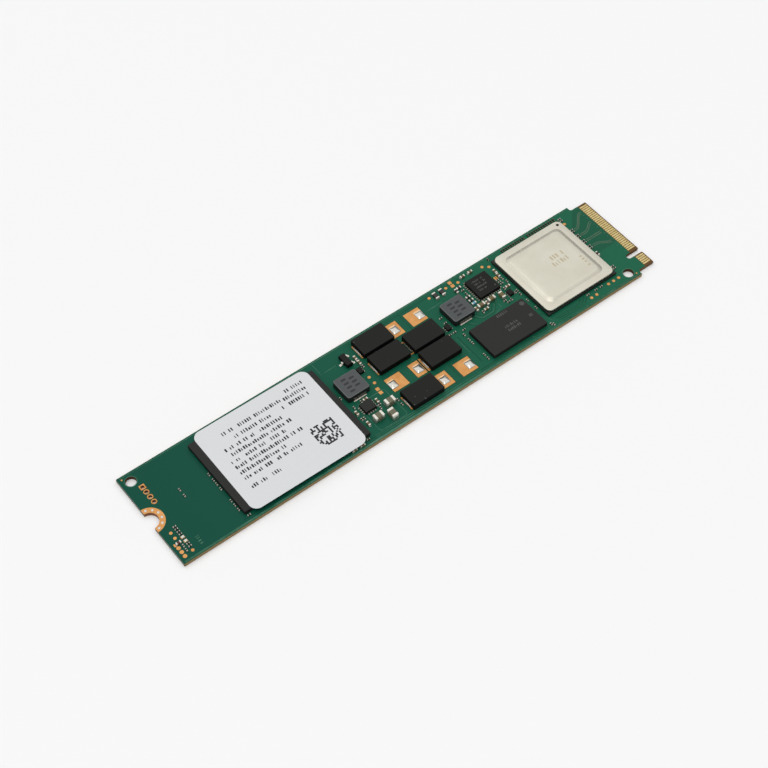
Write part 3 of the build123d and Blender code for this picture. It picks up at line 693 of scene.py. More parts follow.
# Metals: scale of the tarnish, share of scratches, and roughness where bright and where tarnished
METALS = {
    "gold_contact": dict(scale=1.2, scratches=0.5, smooth=0.28, rough=0.42, metallic=0.5),
    "tin_plate": dict(scale=3.0, scratches=0.3, smooth=0.22, rough=0.42, metallic=0.35),
    "dull_tin": dict(scale=2.2, scratches=0.3, smooth=0.3, rough=0.5, metallic=0.6),
    "lead_tin": dict(scale=3.0, scratches=0.3, smooth=0.3, rough=0.5, metallic=0.5),
    "strap_tin_shade": dict(scale=2.2, scratches=0.3, smooth=0.35, rough=0.55, metallic=0.5),
    "strap_solder": dict(scale=2.2, scratches=0.3, smooth=0.3, rough=0.5, metallic=0.5),
    "bright_solder": dict(scale=1.1, scratches=0.1, smooth=0.1, rough=0.2, metallic=0.85, depth=0.012),
    "wetted_copper_highlight": dict(scale=1.2, scratches=0.1, smooth=0.16, rough=0.3, metallic=0.5),
    # drawn: share of the colour on the lid's gentle slopes, a painted shade
    "matt_nickel": dict(
        scale=0.16, scratches=0.12, smooth=0.38, rough=0.44, metallic=0.85, depth=0.001, drawn=0.88
    ),
    "lid_mark": dict(scale=0.4, scratches=0.1, smooth=0.5, rough=0.56, metallic=0.3),
}
# Mask over copper edges and in gaps, and paper: scale and contrast of the grain, and its depth
GRAINED = {
    "mask_over_lines": dict(scale=0.6, contrast=2.0, roughness=0.4, specular=0.45, depth=0.01),
    "mask_over_pairs": dict(scale=0.6, contrast=2.0, roughness=0.4, specular=0.45, depth=0.01),
    "mask_in_gaps_and_shade": dict(scale=0.8, contrast=1.0, roughness=0.5, specular=0.15, depth=0.01),
    "white_paper": dict(scale=3.0, contrast=0.7, roughness=0.5, specular=0.4, depth=0.006),
}


def start_material(name, roughness, metallic=0.0, specular=0.5):
    """A material, its node tree and its shader."""
    material = bpy.data.materials.new(name)
    material.use_nodes = True
    shader = material.node_tree.nodes["Principled BSDF"]
    shader.inputs["Roughness"].default_value = roughness
    shader.inputs["Metallic"].default_value = metallic
    shader.inputs["Specular IOR Level"].default_value = specular
    return material, material.node_tree, shader


def bump(tree, shader, height, strength, depth):
    """Relief on a shader, depth in millimetres."""
    made = node(tree, "ShaderNodeBump", {"Strength": strength, "Distance": depth * MM, "Height": height})
    tree.links.new(made.outputs[0], shader.inputs["Normal"])


def moulded_material(name, colour):
    """One of the moulded finishes in a colour."""
    return grainy_resin(name, colour, **MOULDED[name])


def grainy_resin(
    name, colour, scale, contrast, roughness, specular=0.35, walls=1.0, depth=0.02, specks=0.0, wear=0.0
):
    """Moulded resin or ceramic: grain in shade and relief, with a few pale dust specks.

    Upright walls take the share walls of the colour as painted shade, and rounded rims take a painted
    highlight of share wear.
    """
    speck_scale, speck_share = 1.6, 0.35
    material, tree, shader = start_material(name, roughness, specular=specular)
    where = place(tree)
    grain = grain_at(tree, where, scale, contrast)
    tone = grain["Shade"]
    # Painted shade: upright walls darker than level faces, by the share walls
    if walls != 1.0:
        tone = times(tree, tone, spread(tree, levelness(tree), 0.3, 0.75, walls, 1.0))
    shade = toned(tree, colour, tone)
    # Painted highlight: rounded rims made paler, by the share wear
    if wear:
        rim = sloping(tree, rising=(0.5, 0.8), falling=(0.99, 0.9))
        shade = mixed(tree, times(tree, rim, grain["Shade"], wear), shade, RIM_HIGHLIGHT)
    if specks:
        inputs = {"Vector": where, "Scale": speck_scale, "Share": specks}
        dust = grouped(tree, speck_group(), inputs)["Mask"]
        shade = mixed(tree, times(tree, dust, speck_share), shade, DUST)
    tree.links.new(shade, shader.inputs["Base Color"])
    rough = spread(tree, grain["Height"], 0.3, 0.7, roughness - 0.06, roughness + 0.08)
    tree.links.new(rough, shader.inputs["Roughness"])
    bump(tree, shader, grain["Height"], strength=0.5, depth=depth)
    return material


def metal_material(name, bright, dull):
    """One of the metals in two colours, made once."""
    return bpy.data.materials.get(name) or tarnished_metal(name, bright, dull, **METALS[name])


def tarnished_metal(name, bright, dull, scale, scratches, smooth, rough, metallic, depth=0.004, drawn=1.0):
    """Metal or plating: bright and dull colours mixed by tarnish, which also roughens it.

    Gentle slopes take the share drawn of the colour as painted shade.
    """
    material, tree, shader = start_material(name, rough, metallic=metallic)
    mask = tarnish_at(tree, place(tree), scale, scratches)
    colour = mixed(tree, mask, bright, dull)
    # Painted shade: gentle slopes darker than the flat faces
    if drawn != 1.0:
        slope = sloping(tree, rising=(0.6, 0.85), falling=(0.993, 0.94))
        colour = toned(tree, colour, spread(tree, slope, 0, 1, 1.0, drawn))
    tree.links.new(colour, shader.inputs["Base Color"])
    tree.links.new(spread(tree, mask, 0, 1, smooth, rough), shader.inputs["Roughness"])
    bump(tree, shader, mask, strength=0.4, depth=depth)
    return material


def grained_material(name, dark, pale):
    """Paper or thin mask: two colours mixed by grain, which also gives the relief."""
    finish = GRAINED[name]
    material, tree, shader = start_material(name, finish["roughness"], specular=finish["specular"])
    grain = grain_at(tree, place(tree), finish["scale"], finish["contrast"])
    share = spread(tree, grain["Shade"], 0.7, 1.3)
    tree.links.new(mixed(tree, share, dark, pale), shader.inputs["Base Color"])
    bump(tree, shader, grain["Height"], strength=0.2, depth=finish["depth"])
    return material


def mask_colour(tree, look, where, axes):
    """Mask: lighter from the notch to the tongue, darker in a field where no copper lies under it.

    The field lies on the upper face before the tongue, and its near corner is cut off aslant.
    """
    notch_end, tongue_end = -50.0, 45.0
    steepness, cut_start, cut_end, field_share = 1.15, -49.3, -49.1, 0.35
    grain = grain_at(tree, where, scale=0.25, contrast=0.35)
    along = times(tree, spread(tree, axes[0], notch_end, tongue_end), grain["Shade"])
    mask = mixed(tree, along, look.mask_dark, look.mask)
    field = zone(tree, axes, west=47.6, east=52.75, south=-1.8, north=9.7, soft=0.08)
    aslant = maths(tree, "SUBTRACT", axes[1], times(tree, axes[0], steepness))
    cut = spread(tree, aslant, cut_start, cut_end, 1.0, 0.0)
    upper = maths(tree, "GREATER_THAN", axes[2], BOARD_TOP / 2)
    return mixed(tree, times(tree, field, cut, upper, field_share), mask, look.mask_bare)


def wall_colour(tree, look, where, axes):
    """Cut walls: pale laminate in layers on the long edges, dark resin in holes and slots."""
    layer_height, layer_contrast, at_edge, tongue_depth = 0.1, 3.0, 0.05, 1.9
    layer = times(tree, maths(tree, "PINGPONG", axes[2], layer_height), layer_contrast)
    banded = maths(tree, "ADD", layer, noise(tree, where, scale=3.0, detail=3.0))
    laminate = mixed(tree, spread(tree, banded, 0.3, 0.75), look.laminate_layer, look.laminate)
    outside = maths(tree, "GREATER_THAN", maths(tree, "ABSOLUTE", axes[1]), board_high[1] - at_edge)
    tongue = maths(tree, "GREATER_THAN", axes[0], MASK_END - tongue_depth)
    resin = mixed(tree, tongue, look.laminate_dark, look.tongue)
    end_wall = maths(tree, "LESS_THAN", axes[0], board_low[0] + at_edge)
    resin = mixed(tree, end_wall, resin, look.end_wall)
    return mixed(tree, outside, resin, laminate)


def board_material(look):
    """Green mask on both faces, cut laminate on the edges and bare laminate under the contacts."""
    glossy, matt = 0.36, 0.75
    material, tree, shader = start_material("solder_mask_board", glossy, specular=0.12)
    where = place(tree)
    axes = axes_of(tree, where)
    bare = maths(tree, "GREATER_THAN", axes[0], MASK_END)
    faces = mixed(tree, bare, mask_colour(tree, look, where, axes), look.tongue)
    edge = side_wall(tree)
    colour = mixed(tree, edge, faces, wall_colour(tree, look, where, axes))
    tree.links.new(colour, shader.inputs["Base Color"])
    dull = maths(tree, "MAXIMUM", edge, bare)
    tree.links.new(spread(tree, dull, 0, 1, glossy, matt), shader.inputs["Roughness"])
    fine = grain_at(tree, where, scale=2.2, contrast=1.0)
    bump(tree, shader, fine["Height"], strength=0.2, depth=0.015)
    return material


def copper_material(look, name, wall):
    """Bare copper: light tarnish on lands, and the darker wall colour on upright faces as painted shade.
    """
    smooth, rough = 0.36, 0.48
    material, tree, shader = start_material(name, rough, metallic=0.35)
    mask = tarnish_at(tree, place(tree), scale=0.9, scratches=0.3)
    lands = mixed(tree, mask, look.copper, look.copper_dark)
    # Painted shade: upright faces take the darker wall colour
    tree.links.new(mixed(tree, side_wall(tree), lands, wall), shader.inputs["Base Color"])
    tree.links.new(spread(tree, mask, 0, 1, smooth, rough), shader.inputs["Roughness"])
    bump(tree, shader, mask, strength=0.3, depth=0.003)
    return material


def tin_material(look):
    """Tin plate of end caps and leads."""
    return metal_material("tin_plate", look.tin, look.tin_dark)


def solder_material(look):
    """Bright reflowed solder."""
    return metal_material("bright_solder", look.solder, look.tin_dark)


def dull_tin_material(look):
    """Dull tin of the smallest end caps, darker in the row behind the controller as painted shade."""
    material = metal_material("dull_tin", look.tin_dark, look.dull_tin)
    tree = material.node_tree
    colour = tree.nodes["Principled BSDF"].inputs["Base Color"]
    axes = axes_of(tree, place(tree))
    low, high = solid_box("controller_substrate")
    # Painted shade: the row behind the controller's lid is darker
    behind = zone(tree, axes, west=low[0], east=high[0], south=high[1], north=board_high[1], soft=0.02)
    tree.links.new(mixed(tree, behind, colour.links[0].from_socket, look.far_tin_shade), colour)
    return material


def floor_material(look):
    """Pale matt floor that shows from above only, so that the underside can be looked at.

    Rays that set out from the underside itself, which lies on the floor, pass through to the room.
    """
    underside_gap = 0.06
    material, tree, shader = start_material("pale_floor", 0.9, specular=0.0)
    shader.inputs["Base Color"].default_value = look.floor
    clear = node(tree, "ShaderNodeBsdfTransparent")
    back = tree.nodes.new("ShaderNodeNewGeometry").outputs["Backfacing"]
    length = tree.nodes.new("ShaderNodeLightPath").outputs["Ray Length"]
    open_floor = maths(tree, "MAXIMUM", back, maths(tree, "LESS_THAN", length, underside_gap * MM))
    mix = node(tree, "ShaderNodeMixShader", {0: open_floor, 1: shader.outputs[0], 2: clear.outputs[0]})
    tree.links.new(mix.outputs[0], tree.nodes["Material Output"].inputs["Surface"])
    return material


def room_light(look):
    """Room light: pale at and below the horizon, shaded above it, bright overhead.

    It is dimmer from the front, which is the near edge by the notch, and from the tongue end.
    """
    world = bpy.data.worlds.new("room")
    world.use_nodes = True
    tree = world.node_tree
    way = axes_of(tree, tree.nodes.new("ShaderNodeTexCoord").outputs["Generated"])
    from_x, from_y = 0.6, 0.8
    behind = maths(tree, "ADD", times(tree, way[0], from_x), times(tree, way[1], from_y))
    above = times(
        tree,
        spread(tree, way[2], 0.22, 0.6, look.shade, look.sky),
        spread(tree, behind, -0.55, 0.15, look.front, 1.0),
        spread(tree, way[0], 0.45, 0.85, 1.0, look.side),
    )
    below = spread(tree, way[2], 0.1, 0.22, look.horizon, 0.0)
    background = tree.nodes["Background"].inputs
    background["Color"].default_value = (1, 1, 1, 1)
    tree.links.new(maths(tree, "MAXIMUM", above, below), background["Strength"])
    return world


# Pieces: board


def land_shapes():
    """Bare lands: round ones as discs, slim ones as plates with a rounded rim.

    A round land that a slim one runs into is longer than it is wide. The two are drawn apart.
    """
    rim, inset, corner, box_corners = 0.015, 0.03, 0.06, 8
    longer, slim_width, parting = 0.2, 0.36, 0.05
    low, high, corners = solids_of("test_lands")
    size, spots = high - low, middle_of(low, high)
    radius, round_ones = size[:, 0] / 2, corners > box_corners
    run_in = round_ones & (size[:, 1] > size[:, 0] + longer)
    spots[run_in, 1] = low[run_in, 1] + radius[run_in]
    high[run_in, 0] = low[run_in, 0] + slim_width
    low[run_in, 1] += size[run_in, 0] + parting
    slim_ones = run_in | ~round_ones
    return joined(
        discs(spots[round_ones], radius[round_ones] - inset, BOARD_TOP - SINK, high[0, 2], rim),
        moulded(low[slim_ones], high[slim_ones], corner, rim, steps=3, bends=2),
    )


def ring_shapes():
    """Solder in the vias of the plated ring: low discs with a wide round rim."""
    wider, rise, rim = 0.05, 0.02, 0.05
    low, high, _ = solids_of("ring_vias")
    radius = (high - low)[:, 0] / 2 + wider
    return discs(middle_of(low, high), radius, low[0, 2] - SINK, high[0, 2] + rise, rim, 24)


class DRIVE_OT_board(bpy.types.Operator):
    """Finish the board, its edge contacts, lands and plated ring"""

    bl_idname = "drive.board"
    bl_label = "Board and lands"

    def execute(self, context):
        look, parts = context.scene.drive_board, context.scene.drive_parts
        dress("circuit_board", board_material(look))
        gold = metal_material("gold_contact", look.gold, look.gold_dark)
        for name in ("edge_contacts_top", "edge_contacts_bottom"):
            dress(name, gold)
        copper = copper_material(look, "copper_land", look.copper_wall_shade)
        for name in ("capacitor_lands", "mounting_ring"):
            dress(name, copper)
        piece = new_piece("bare_lands", land_shapes(), copper)
        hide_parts("test_lands")
        piece = new_piece("ring_solder", ring_shapes(), solder_material(parts))
        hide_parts("ring_vias")
        return {"FINISHED"}


def header_shapes():
    """Plated header holes: collars through the board with a land on each face, the first one square."""
    inset, wall, bore = 0.04, 0.405, 0.37
    proud, land_depth, square_corner, shy = 0.004, 0.03, 0.05, 0.001
    low, high, _ = solids_of("header_barrels")
    spots = middle_of(low, high)
    land = (high - low)[0, 0] / 2 - inset
    square = np.arange(len(spots)) == np.argmax(spots[:, 1])
    shapes = [collars(spots, bore, wall, wall - shy, 0.0, BOARD_TOP)]
    for base, top in ((BOARD_TOP - land_depth, BOARD_TOP + proud), (0.0, land_depth)):
        shapes.append(collars(spots[~square], bore, land, land - shy, base, top))
        shapes.append(collars(spots[square], bore, land, square_corner, base, top))
    return joined(*shapes)


class DRIVE_OT_header(bpy.types.Operator):
    """Plated holes of the test header: collars through the board, the first one square"""

    bl_idname = "drive.header"
    bl_label = "Header holes"

    def execute(self, context):
        look = context.scene.drive_board
        # The bores' near black wall colour is painted shade
        copper = copper_material(look, "copper_bore_shade", look.bore)
        piece = new_piece("header_collars", header_shapes(), copper)
        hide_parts("header_barrels")
        return {"FINISHED"}


# Copper traces that show through the mask, as corners in X and Y
TRACES = [
    [(-12.1, 7.45), (-8.8, 7.45)],
    [(-12.5, 7.2), (-12.5, 10.3)],
    [(12.1, 7.3), (17.2, 7.3)],
    [(18.5, 1.0), (19.8, -0.55), (22.4, -0.55), (23.6, 0.7), (23.6, 1.6)],
    [(16.7, 0.2), (18.0, -1.2)],
    [(22.3, -1.3), (24.3, -0.6), (24.3, 1.4)],
    [(29.0, -7.0), (30.0, -9.4)],
    [(24.0, -9.7), (24.6, -10.2)],
    [(12.6, -1.2), (12.6, -5.6)],
]
# Signal pairs between the controller and the tongue: where each bend starts and ends
PAIRS = [
    ((48.7, 5.6), (52.2, 8.3)),
    ((49.7, 3.85), (52.2, 5.2)),
    ((48.7, 2.05), (52.1, 2.05)),
    ((49.3, 0.25), (52.1, -1.0)),
]
# Dark courses between copper fields
COURSES = [
    [(-1.0, -5.5), (-1.0, -0.6)],
    [(7.5, 5.5), (7.5, 9.9)],
    [(7.5, -5.5), (7.5, -9.3), (7.3, -9.5), (5.8, -9.5)],
    [(-4.4, 9.9), (24.0, 9.9)],
    [(-42.0, -9.9), (-13.0, -9.9)],
    [(11.6, -9.9), (28.0, -9.9)],
    [(18.2, 0.9), (19.6, -0.75), (22.5, -0.75), (23.9, 0.6), (23.9, 1.6)],
    [(16.4, 0.1), (17.7, -1.3)],
    [(19.2, 0.9), (20.1, -0.2), (22.1, -0.2), (23.2, 0.8)],
    [(13.0, -1.2), (13.0, -8.6)],
    [(30.6, -9.2), (36.4, -9.2), (37.4, -8.5)],
    [(30.9, -9.6), (36.8, -9.6), (38.2, -8.6)],
    [(31.2, -10.0), (37.2, -10.0), (38.6, -8.9)],
    [(28.9, -6.4), (29.8, -8.9)],
]


def line_shapes(width, rise):
    """Raised lines: edge lines, traces, a pour's outline, stubs, rims of holes, and short bars."""
    edge_inset, left, right = 0.3, board_low[0] + 0.4, MASK_END - 2.2
    near, far = board_low[1] + edge_inset, board_high[1] - edge_inset
    inner, innermost = near + 0.55, near + 0.95
    lines = raised_lines([[(left, near), (right, near)]], 3.0 * width, rise)
    lines += raised_lines([[(left, far), (right, far)]], 1.1 * width, rise)
    beside = [[(-13.0, inner), (14.6, inner)], [(-13.0, innermost), (4.0, innermost)]]
    lines += raised_lines(beside, 0.7 * width, rise)
    lines += raised_lines(TRACES, 0.8 * width, rise)
    pour_half, pour_corner, pour_middle = (3.1, 3.6), 0.5, (-8.4, -5.9)
    pour = rounded_outline(pour_half, pour_corner, 4) + pour_middle
    lines += raised_lines([pour], 0.8 * width, rise, closed=True)
    fine_width, stub_start, stub_end = 0.12, 52.15, 52.5
    stubs = [[(stub_start, y), (stub_end, y)] for y in np.arange(-4.6, 9.0, 1.0)]
    lines += raised_lines(stubs, fine_width, rise)
    rim_radius = 1.16
    holes = [(board_low[0] + 1.9, board_high[1] - 1.95), (49.05, board_low[1] + 1.75)]
    rims = [circle(rim_radius, 48) + spot for spot in holes]
    lines += raised_lines(rims, fine_width, rise, closed=True)
    bars = [(-50.15, -7.6), (-50.15, -8.05), (-50.2, -8.65), (-50.2, -9.25)]
    bar_halves = [(0.45, 0.08), (0.38, 0.08), (0.32, 0.16), (0.3, 0.15)]
    return joined(*lines, plates(bars, bar_halves, corner=0.05, level=BOARD_TOP, rise=rise))


def pair_shapes(width, rise):
    """Signal pairs: two lines side by side that leave the controller straight and then sway."""
    start_x, half_gap = 48.3, 0.21
    lines = []
    for start, end in PAIRS:
        path = np.concatenate([[(start_x, start[1])], sway(start, end)])
        lines += raised_lines([path - (0, half_gap), path + (0, half_gap)], 1.5 * width, rise)
    return joined(*lines)


def gap_and_shade_shapes():
    """Gaps between copper fields: round the capacitor bank's lands, also as painted shade at the mask's
    step, and along the dark courses.
    """
    rise, clear, corner, land_gap, course_width = 0.006, 0.06, 0.08, 0.12, 0.1
    low, high, _ = solids_of("capacitor_lands")
    half = (high - low)[:, :2] / 2 + clear
    outlines = rounded_outline(half, np.full(len(half), corner), 2) + middle_of(low, high)[:, None]
    gaps = raised_lines(outlines, land_gap, rise, closed=True)
    gaps += raised_lines(COURSES, course_width, rise)
    # Mask across the middle lands, between the ends of two neighbours: at y -2.5 a gap in the shared land,
    # at y 2.5 a painted shadow of the capacitor beside it
    spots, halves = [(3.95, 2.5), (3.62, -2.5)], [(0.16, 1.5), (0.13, 1.7)]
    return joined(*gaps, plates(spots, halves, corner=0.03, level=high[0, 2], rise=0.005))


class DRIVE_OT_lines(bpy.types.Operator):
    """Raised lines under the mask: edge lines, pour outlines, traces and signal pairs"""

    bl_idname = "drive.lines"
    bl_label = "Lines under the mask"

    def execute(self, context):
        look = context.scene.drive_board
        width, rise = look.line_width / MM, look.line_rise / MM
        olive = grained_material("mask_over_pairs", look.pair_dark, look.pair)
        new_piece("mask_pairs", pair_shapes(width, rise), olive)
        pale = grained_material("mask_over_lines", look.mask, look.mask_pale)
        new_piece("mask_lines", line_shapes(width, rise), pale)
        # Dark mask in gaps, also painted shade at the lands' mask steps and as a capacitor's shadow
        dark = grained_material("mask_in_gaps_and_shade", look.mask_sunk_and_shade, look.mask_bare)
        new_piece("mask_gaps_and_shade", gap_and_shade_shapes(), dark)
        return {"FINISHED"}


# Pieces: parts on the board

# Marks on packages: place of the dimple from the tongue side and its radius, and rows of ticks
PACKAGE_MARKS = {
    "working_memory": {
        "dimple": (-0.85, 2.75, 0.5),
        "height": 0.62,
        "rows": [(-0.2, 3.1, 3.4), (-0.6, 0.2, 3.3), (-0.5, -0.75, 3.2), (4.9, -0.4, 1.4)],
    },
    "power_chip": {
        "dimple": (-0.62, -1.55, 0.17),
        "height": 0.42,
        "rows": [(-1.5, 1.5, 2.6), (-1.4, 0.7, 2.7), (-1.5, -0.1, 2.5), (-1.4, -0.9, 2.0)],
    },
}


class DRIVE_OT_packages(bpy.types.Operator):
    """Moulded memory packages, flat chips and transistor"""

    bl_idname = "drive.packages"
    bl_label = "Moulded packages"

    def execute(self, context):
        look = context.scene.drive_parts
        self.bodies(look)
        self.leads(look)
        self.marks(look)
        return {"FINISHED"}

    def bodies(self, look):
        """Moulded bodies, and the transistor's finish."""
        corner, draft = 0.12, 0.02
        black = moulded_material("moulded_package", look.package)
        chip = moulded_material("moulded_chip", look.flat_chip)
        finishes = {
            "memory_packages": black,
            "working_memory": black,
            "power_chip": chip,
            "regulator": black,
            "logic_chip_1": chip,
            "logic_chip_2": chip,
            "logic_chip_3": chip,
        }
        for name, finish in finishes.items():
            low, high, _ = solids_of(name)
            shape = moulded(low, high, corner, look.rim / MM, draft)
            piece = new_piece(f"{name}_moulding", shape, finish)
            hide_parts(name)
        dress("transistor", chip)

    def leads(self, look):
        """Finishes of leads and ball fields."""
        dress("transistor_leads", tin_material(look))
        dull = metal_material("lead_tin", look.dull_tin, look.lead_tin)
        for name in ("power_chip_leads", "regulator_leads", "logic_chip_leads"):
            dress(name, dull)
        resin = moulded_material("dark_resin", look.ball_resin)
        for name in ("memory_ball_fields", "working_memory_ball_field", "controller_ball_field"):
            dress(name, resin)

    def marks(self, look):
        """First-lead dimples and faint rows of ticks."""
        depth, rise, corner, tick_rise = 0.02, 0.004, 0.02, 0.003
        dent = moulded_material("package_dimple", look.dimple)
        faint = moulded_material("package_print", look.package_print)
        chance = np.random.default_rng(7)
        for name, marks in PACKAGE_MARKS.items():
            low, high = solid_box(name)
            centre, top = middle_of(low, high), high[2]
            back, up, radius = marks["dimple"]
            shape = discs([(high[0] + back, centre[1] + up)], [radius], top - depth, top + rise, rise)
            new_piece(f"{name}_first_lead_mark", shape, dent, smooth=False)
            height = marks["height"]
            spots, half = tick_rows(np.array(marks["rows"]), height, chance, pitch=0.7 * height)
            ticks = plates(spots + centre, half, corner, top, tick_rise)
            new_piece(f"{name}_print", ticks, faint, smooth=False)


CAPACITORS = [f"hold_up_capacitor_{index}" for index in range(1, 6)]


class DRIVE_OT_capacitors(bpy.types.Operator):
    """Hold-up capacitor bank: bodies, solder at their ends, and solder on the empty places"""

    bl_idname = "drive.capacitors"
    bl_label = "Hold-up capacitors"

    def execute(self, context):
        look = context.scene.drive_parts
        self.bodies(look)
        self.strips(look)
        self.empty_places(look)
        return {"FINISHED"}

    def bodies(self, look):
        """Moulded bodies with sharp rims."""
        corner, rim, draft = 0.06, 0.03, 0.01
        black = moulded_material("moulded_capacitor", look.capacitor)
        for name in CAPACITORS:
            low, high = solid_box(name)
            shape = moulded(low, high, corner, rim, draft)
            piece = new_piece(f"{name}_moulding", shape, black)
            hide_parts(name)

    def strips(self, look):
        """Low strips of solder at the ends of the bodies."""
        height, reach = 0.12, 0.11
        low, high, _ = solids_of("capacitor_terminals")
        outward = outward_of(low, high, CAPACITORS)
        high[:, 2] = low[:, 2] + height
        strip = fillets(low, high, outward, reach, side=0.0, climb=1.0)
        piece = new_piece("capacitor_solder", strip, solder_material(look))
        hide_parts("capacitor_terminals")

    def empty_places(self, look):
        """Domes of solder on the empty places, solder-wet copper beside them painted pale as a highlight,
        and small tinned lands.
        """
        least_length, pool_length, pool_height = 1.0, 0.6, 0.05
        dome_stretch = (0, -0.25, 0.14)
        low, high, _ = solids_of("spare_solder")
        empty = (high - low)[:, 1] > least_length
        pool_low, pool_high = low[empty], high[empty]
        pool_low[:, 1] = pool_high[:, 1] - pool_length
        pool_high[:, 2] = pool_low[:, 2] + pool_height
        high[empty] += dome_stretch
        tinned = moulded(low[~empty], high[~empty], corner=0.1, rim=0.05, steps=3)
        beads = joined(domes(low[empty], high[empty], corner=0.22), tinned)
        piece = new_piece("spare_solder_domes", beads, solder_material(look))
        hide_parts("spare_solder")
        # Copper beside the solder in a pale colour that paints its highlight
        pools = domes(pool_low, pool_high, corner=0.2, lump=0.0)
        wetted_highlight = metal_material("wetted_copper_highlight", look.wetted_highlight, look.wetted_highlight_dark)
        new_piece("spare_solder_pools", pools, wetted_highlight)


INDUCTORS = ["input_inductor", "output_inductor"]
# Middles of the printed bars, in two rows
INDUCTOR_BARS = [
    (0.8, 1.1),
    (0.8, 0.1),
    (0.8, -0.9),
    (-0.75, 1.5),
    (-0.75, 0.5),
    (-0.75, -0.5),
    (-0.75, -1.5),
]


class DRIVE_OT_inductors(bpy.types.Operator):
    """Pressed powder inductors with plain printed bars, and their soldered straps"""

    bl_idname = "drive.inductors"
    bl_label = "Inductors"

    def execute(self, context):
        look = context.scene.drive_parts
        self.bodies(look)
        self.straps(look)
        return {"FINISHED"}

    def bodies(self, look):
        """Pressed bodies with round corners, and bars printed on them."""
        corner, draft, print_room, print_rise = 0.55, 0.04, 0.005, 0.004
        bar_half, bar_corner = (0.52, 0.22), 0.06
        grey = moulded_material("inductor_powder", look.inductor)
        ink = moulded_material("inductor_ink", look.inductor_ink)
        halves = np.tile(bar_half, (len(INDUCTOR_BARS), 1))
        for name in INDUCTORS:
            low, high = solid_box(name)
            body_top = high - (0, 0, print_room)
            shape = moulded(low, body_top, corner, look.inductor_rim / MM, draft, steps=6)
            piece = new_piece(f"{name}_moulding", shape, grey)
            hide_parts(name)
            spots = INDUCTOR_BARS + middle_of(low, high)
            marks = plates(spots, halves, bar_corner, high[2] - print_room, print_rise)
            new_piece(f"{name}_print", marks, ink, smooth=False)

    def straps(self, look):
        """Straps painted dark as shade, with solder at their feet."""
        dress("inductor_terminals", metal_material("strap_tin_shade", look.lead_tin, look.strap_shade))
        low, high, _ = solids_of("inductor_terminals")
        outward = outward_of(low, high, INDUCTORS)
        skirt = fillets(low, high, outward, reach=0.22, side=0.04, climb=0.2)
        dull = metal_material("strap_solder", look.tin_dark, look.dull_tin)
        new_piece("inductor_solder", skirt, dull)


def lid_shape(low, high, base, shelf, top):
    """Pressed lid in a box: rings from its foot over a bent edge and a flat flange to the crown.

    At share s of the crown's slope the height is 1 - (1 - s)^1.3 of the crown's.
    """
    flange, slope, bend, power, before_slope = 1.4, 0.82, 0.09, 1.3, 0.05
    foot_inset, foot_rise, flat_inset = [0.06, 0, 0], [0, 0.06, 0.1], [3.2, 5.5]
    corner_inset, corner_radius = [0, flange, flange + slope, 8], [1.15, 1.3, 0.9, 0.2]
    turn = np.linspace(0, np.pi / 2, 5)
    share = np.linspace(0, 1, 17)
    edge_inset, edge_level = bend * (1 - np.cos(turn)), shelf - bend * (1 - np.sin(turn))
    climb = (top - shelf) * (1 - (1 - share) ** power)
    slope_inset, slope_level = flange + slope * share, shelf + climb
    inset = np.concatenate([foot_inset, edge_inset, [flange - before_slope], slope_inset, flat_inset])
    level = np.concatenate([base + np.array(foot_rise), edge_level, [shelf], slope_level, [top, top]])
    corner = np.interp(inset, corner_inset, corner_radius)
    half = (high - low)[None, None, :2] / 2 - inset[None, :, None]
    centres = np.broadcast_to(middle_of(low, high), half.shape)
    return stacked_rings(rounded_outline(half, corner[None], 8), centres, level[None])


def lid_mark_shapes(centre, top):
    """Faint marks on the crown: two rows of ticks and a column of short bars."""
    rows = np.array([(-0.3, 1.35, 4.4), (-0.3, -0.2, 4.6)])
    spots, half = tick_rows(rows, height=1.1, chance=np.random.default_rng(3), pitch=0.66, words=0.1)
    column, bar_half = [(5.35, -1.7), (5.35, -2.5), (5.35, -3.3), (5.35, -4.3)], (0.28, 0.2)
    spots = np.concatenate([spots, column]) + centre
    half = np.concatenate([half, np.tile(bar_half, (len(column), 1))])
    return plates(spots, half, corner=0.06, level=top, rise=0.003)


class DRIVE_OT_controller(bpy.types.Operator):
    """Drive controller: dark substrate and a pressed lid with a raised crown"""

    bl_idname = "drive.controller"
    bl_label = "Controller"

    def execute(self, context):
        look = context.scene.drive_parts
        dress("controller_substrate", moulded_material("substrate_laminate", look.substrate))
        dress("controller_die", moulded_material("die_silicon", look.silicon))
        seal, sheet, mark_room = 0.22, 0.6, 0.004
        low, high = solid_box("controller_lid")
        base, shelf, top = low[2] + seal, low[2] + sheet, high[2] - mark_room
        nickel = metal_material("matt_nickel", look.nickel, look.nickel_dark)
        piece = new_piece("pressed_lid", lid_shape(low, high, base, shelf, top), nickel)
        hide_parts("controller_lid")
        self.seal_and_vent(look, low, high, base, shelf)
        faint = metal_material("lid_mark", look.lid_mark, look.lid_mark_dark)
        marks = lid_mark_shapes(middle_of(low, high), top)
        new_piece("lid_marks", marks, faint, smooth=False)
        return {"FINISHED"}

    def seal_and_vent(self, look, low, high, base, shelf):
        """A bead of dark resin under the lid's edge, and a dark vent in the flange's far corner."""
        set_back, overlap = 0.12, 0.03
        vent_inset, vent_radius, vent_depth, vent_rise = 1.0, 0.3, 0.05, 0.006
        dark = moulded_material("seal_resin", look.seal)
        bead_low = low + (set_back, set_back, 0)
        bead_high = np.append(high[:2] - set_back, base + overlap)
        bead = moulded(bead_low, bead_high, corner=0.95, rim=0.02, steps=8)
        new_piece("lid_seal", bead, dark)
        spot, vent_base, vent_top = high[:2] - vent_inset, shelf - vent_depth, shelf + vent_rise
        vent = discs([spot], [vent_radius], vent_base, vent_top, rim=0.004, count=24)
        new_piece("lid_vent", vent, dark)


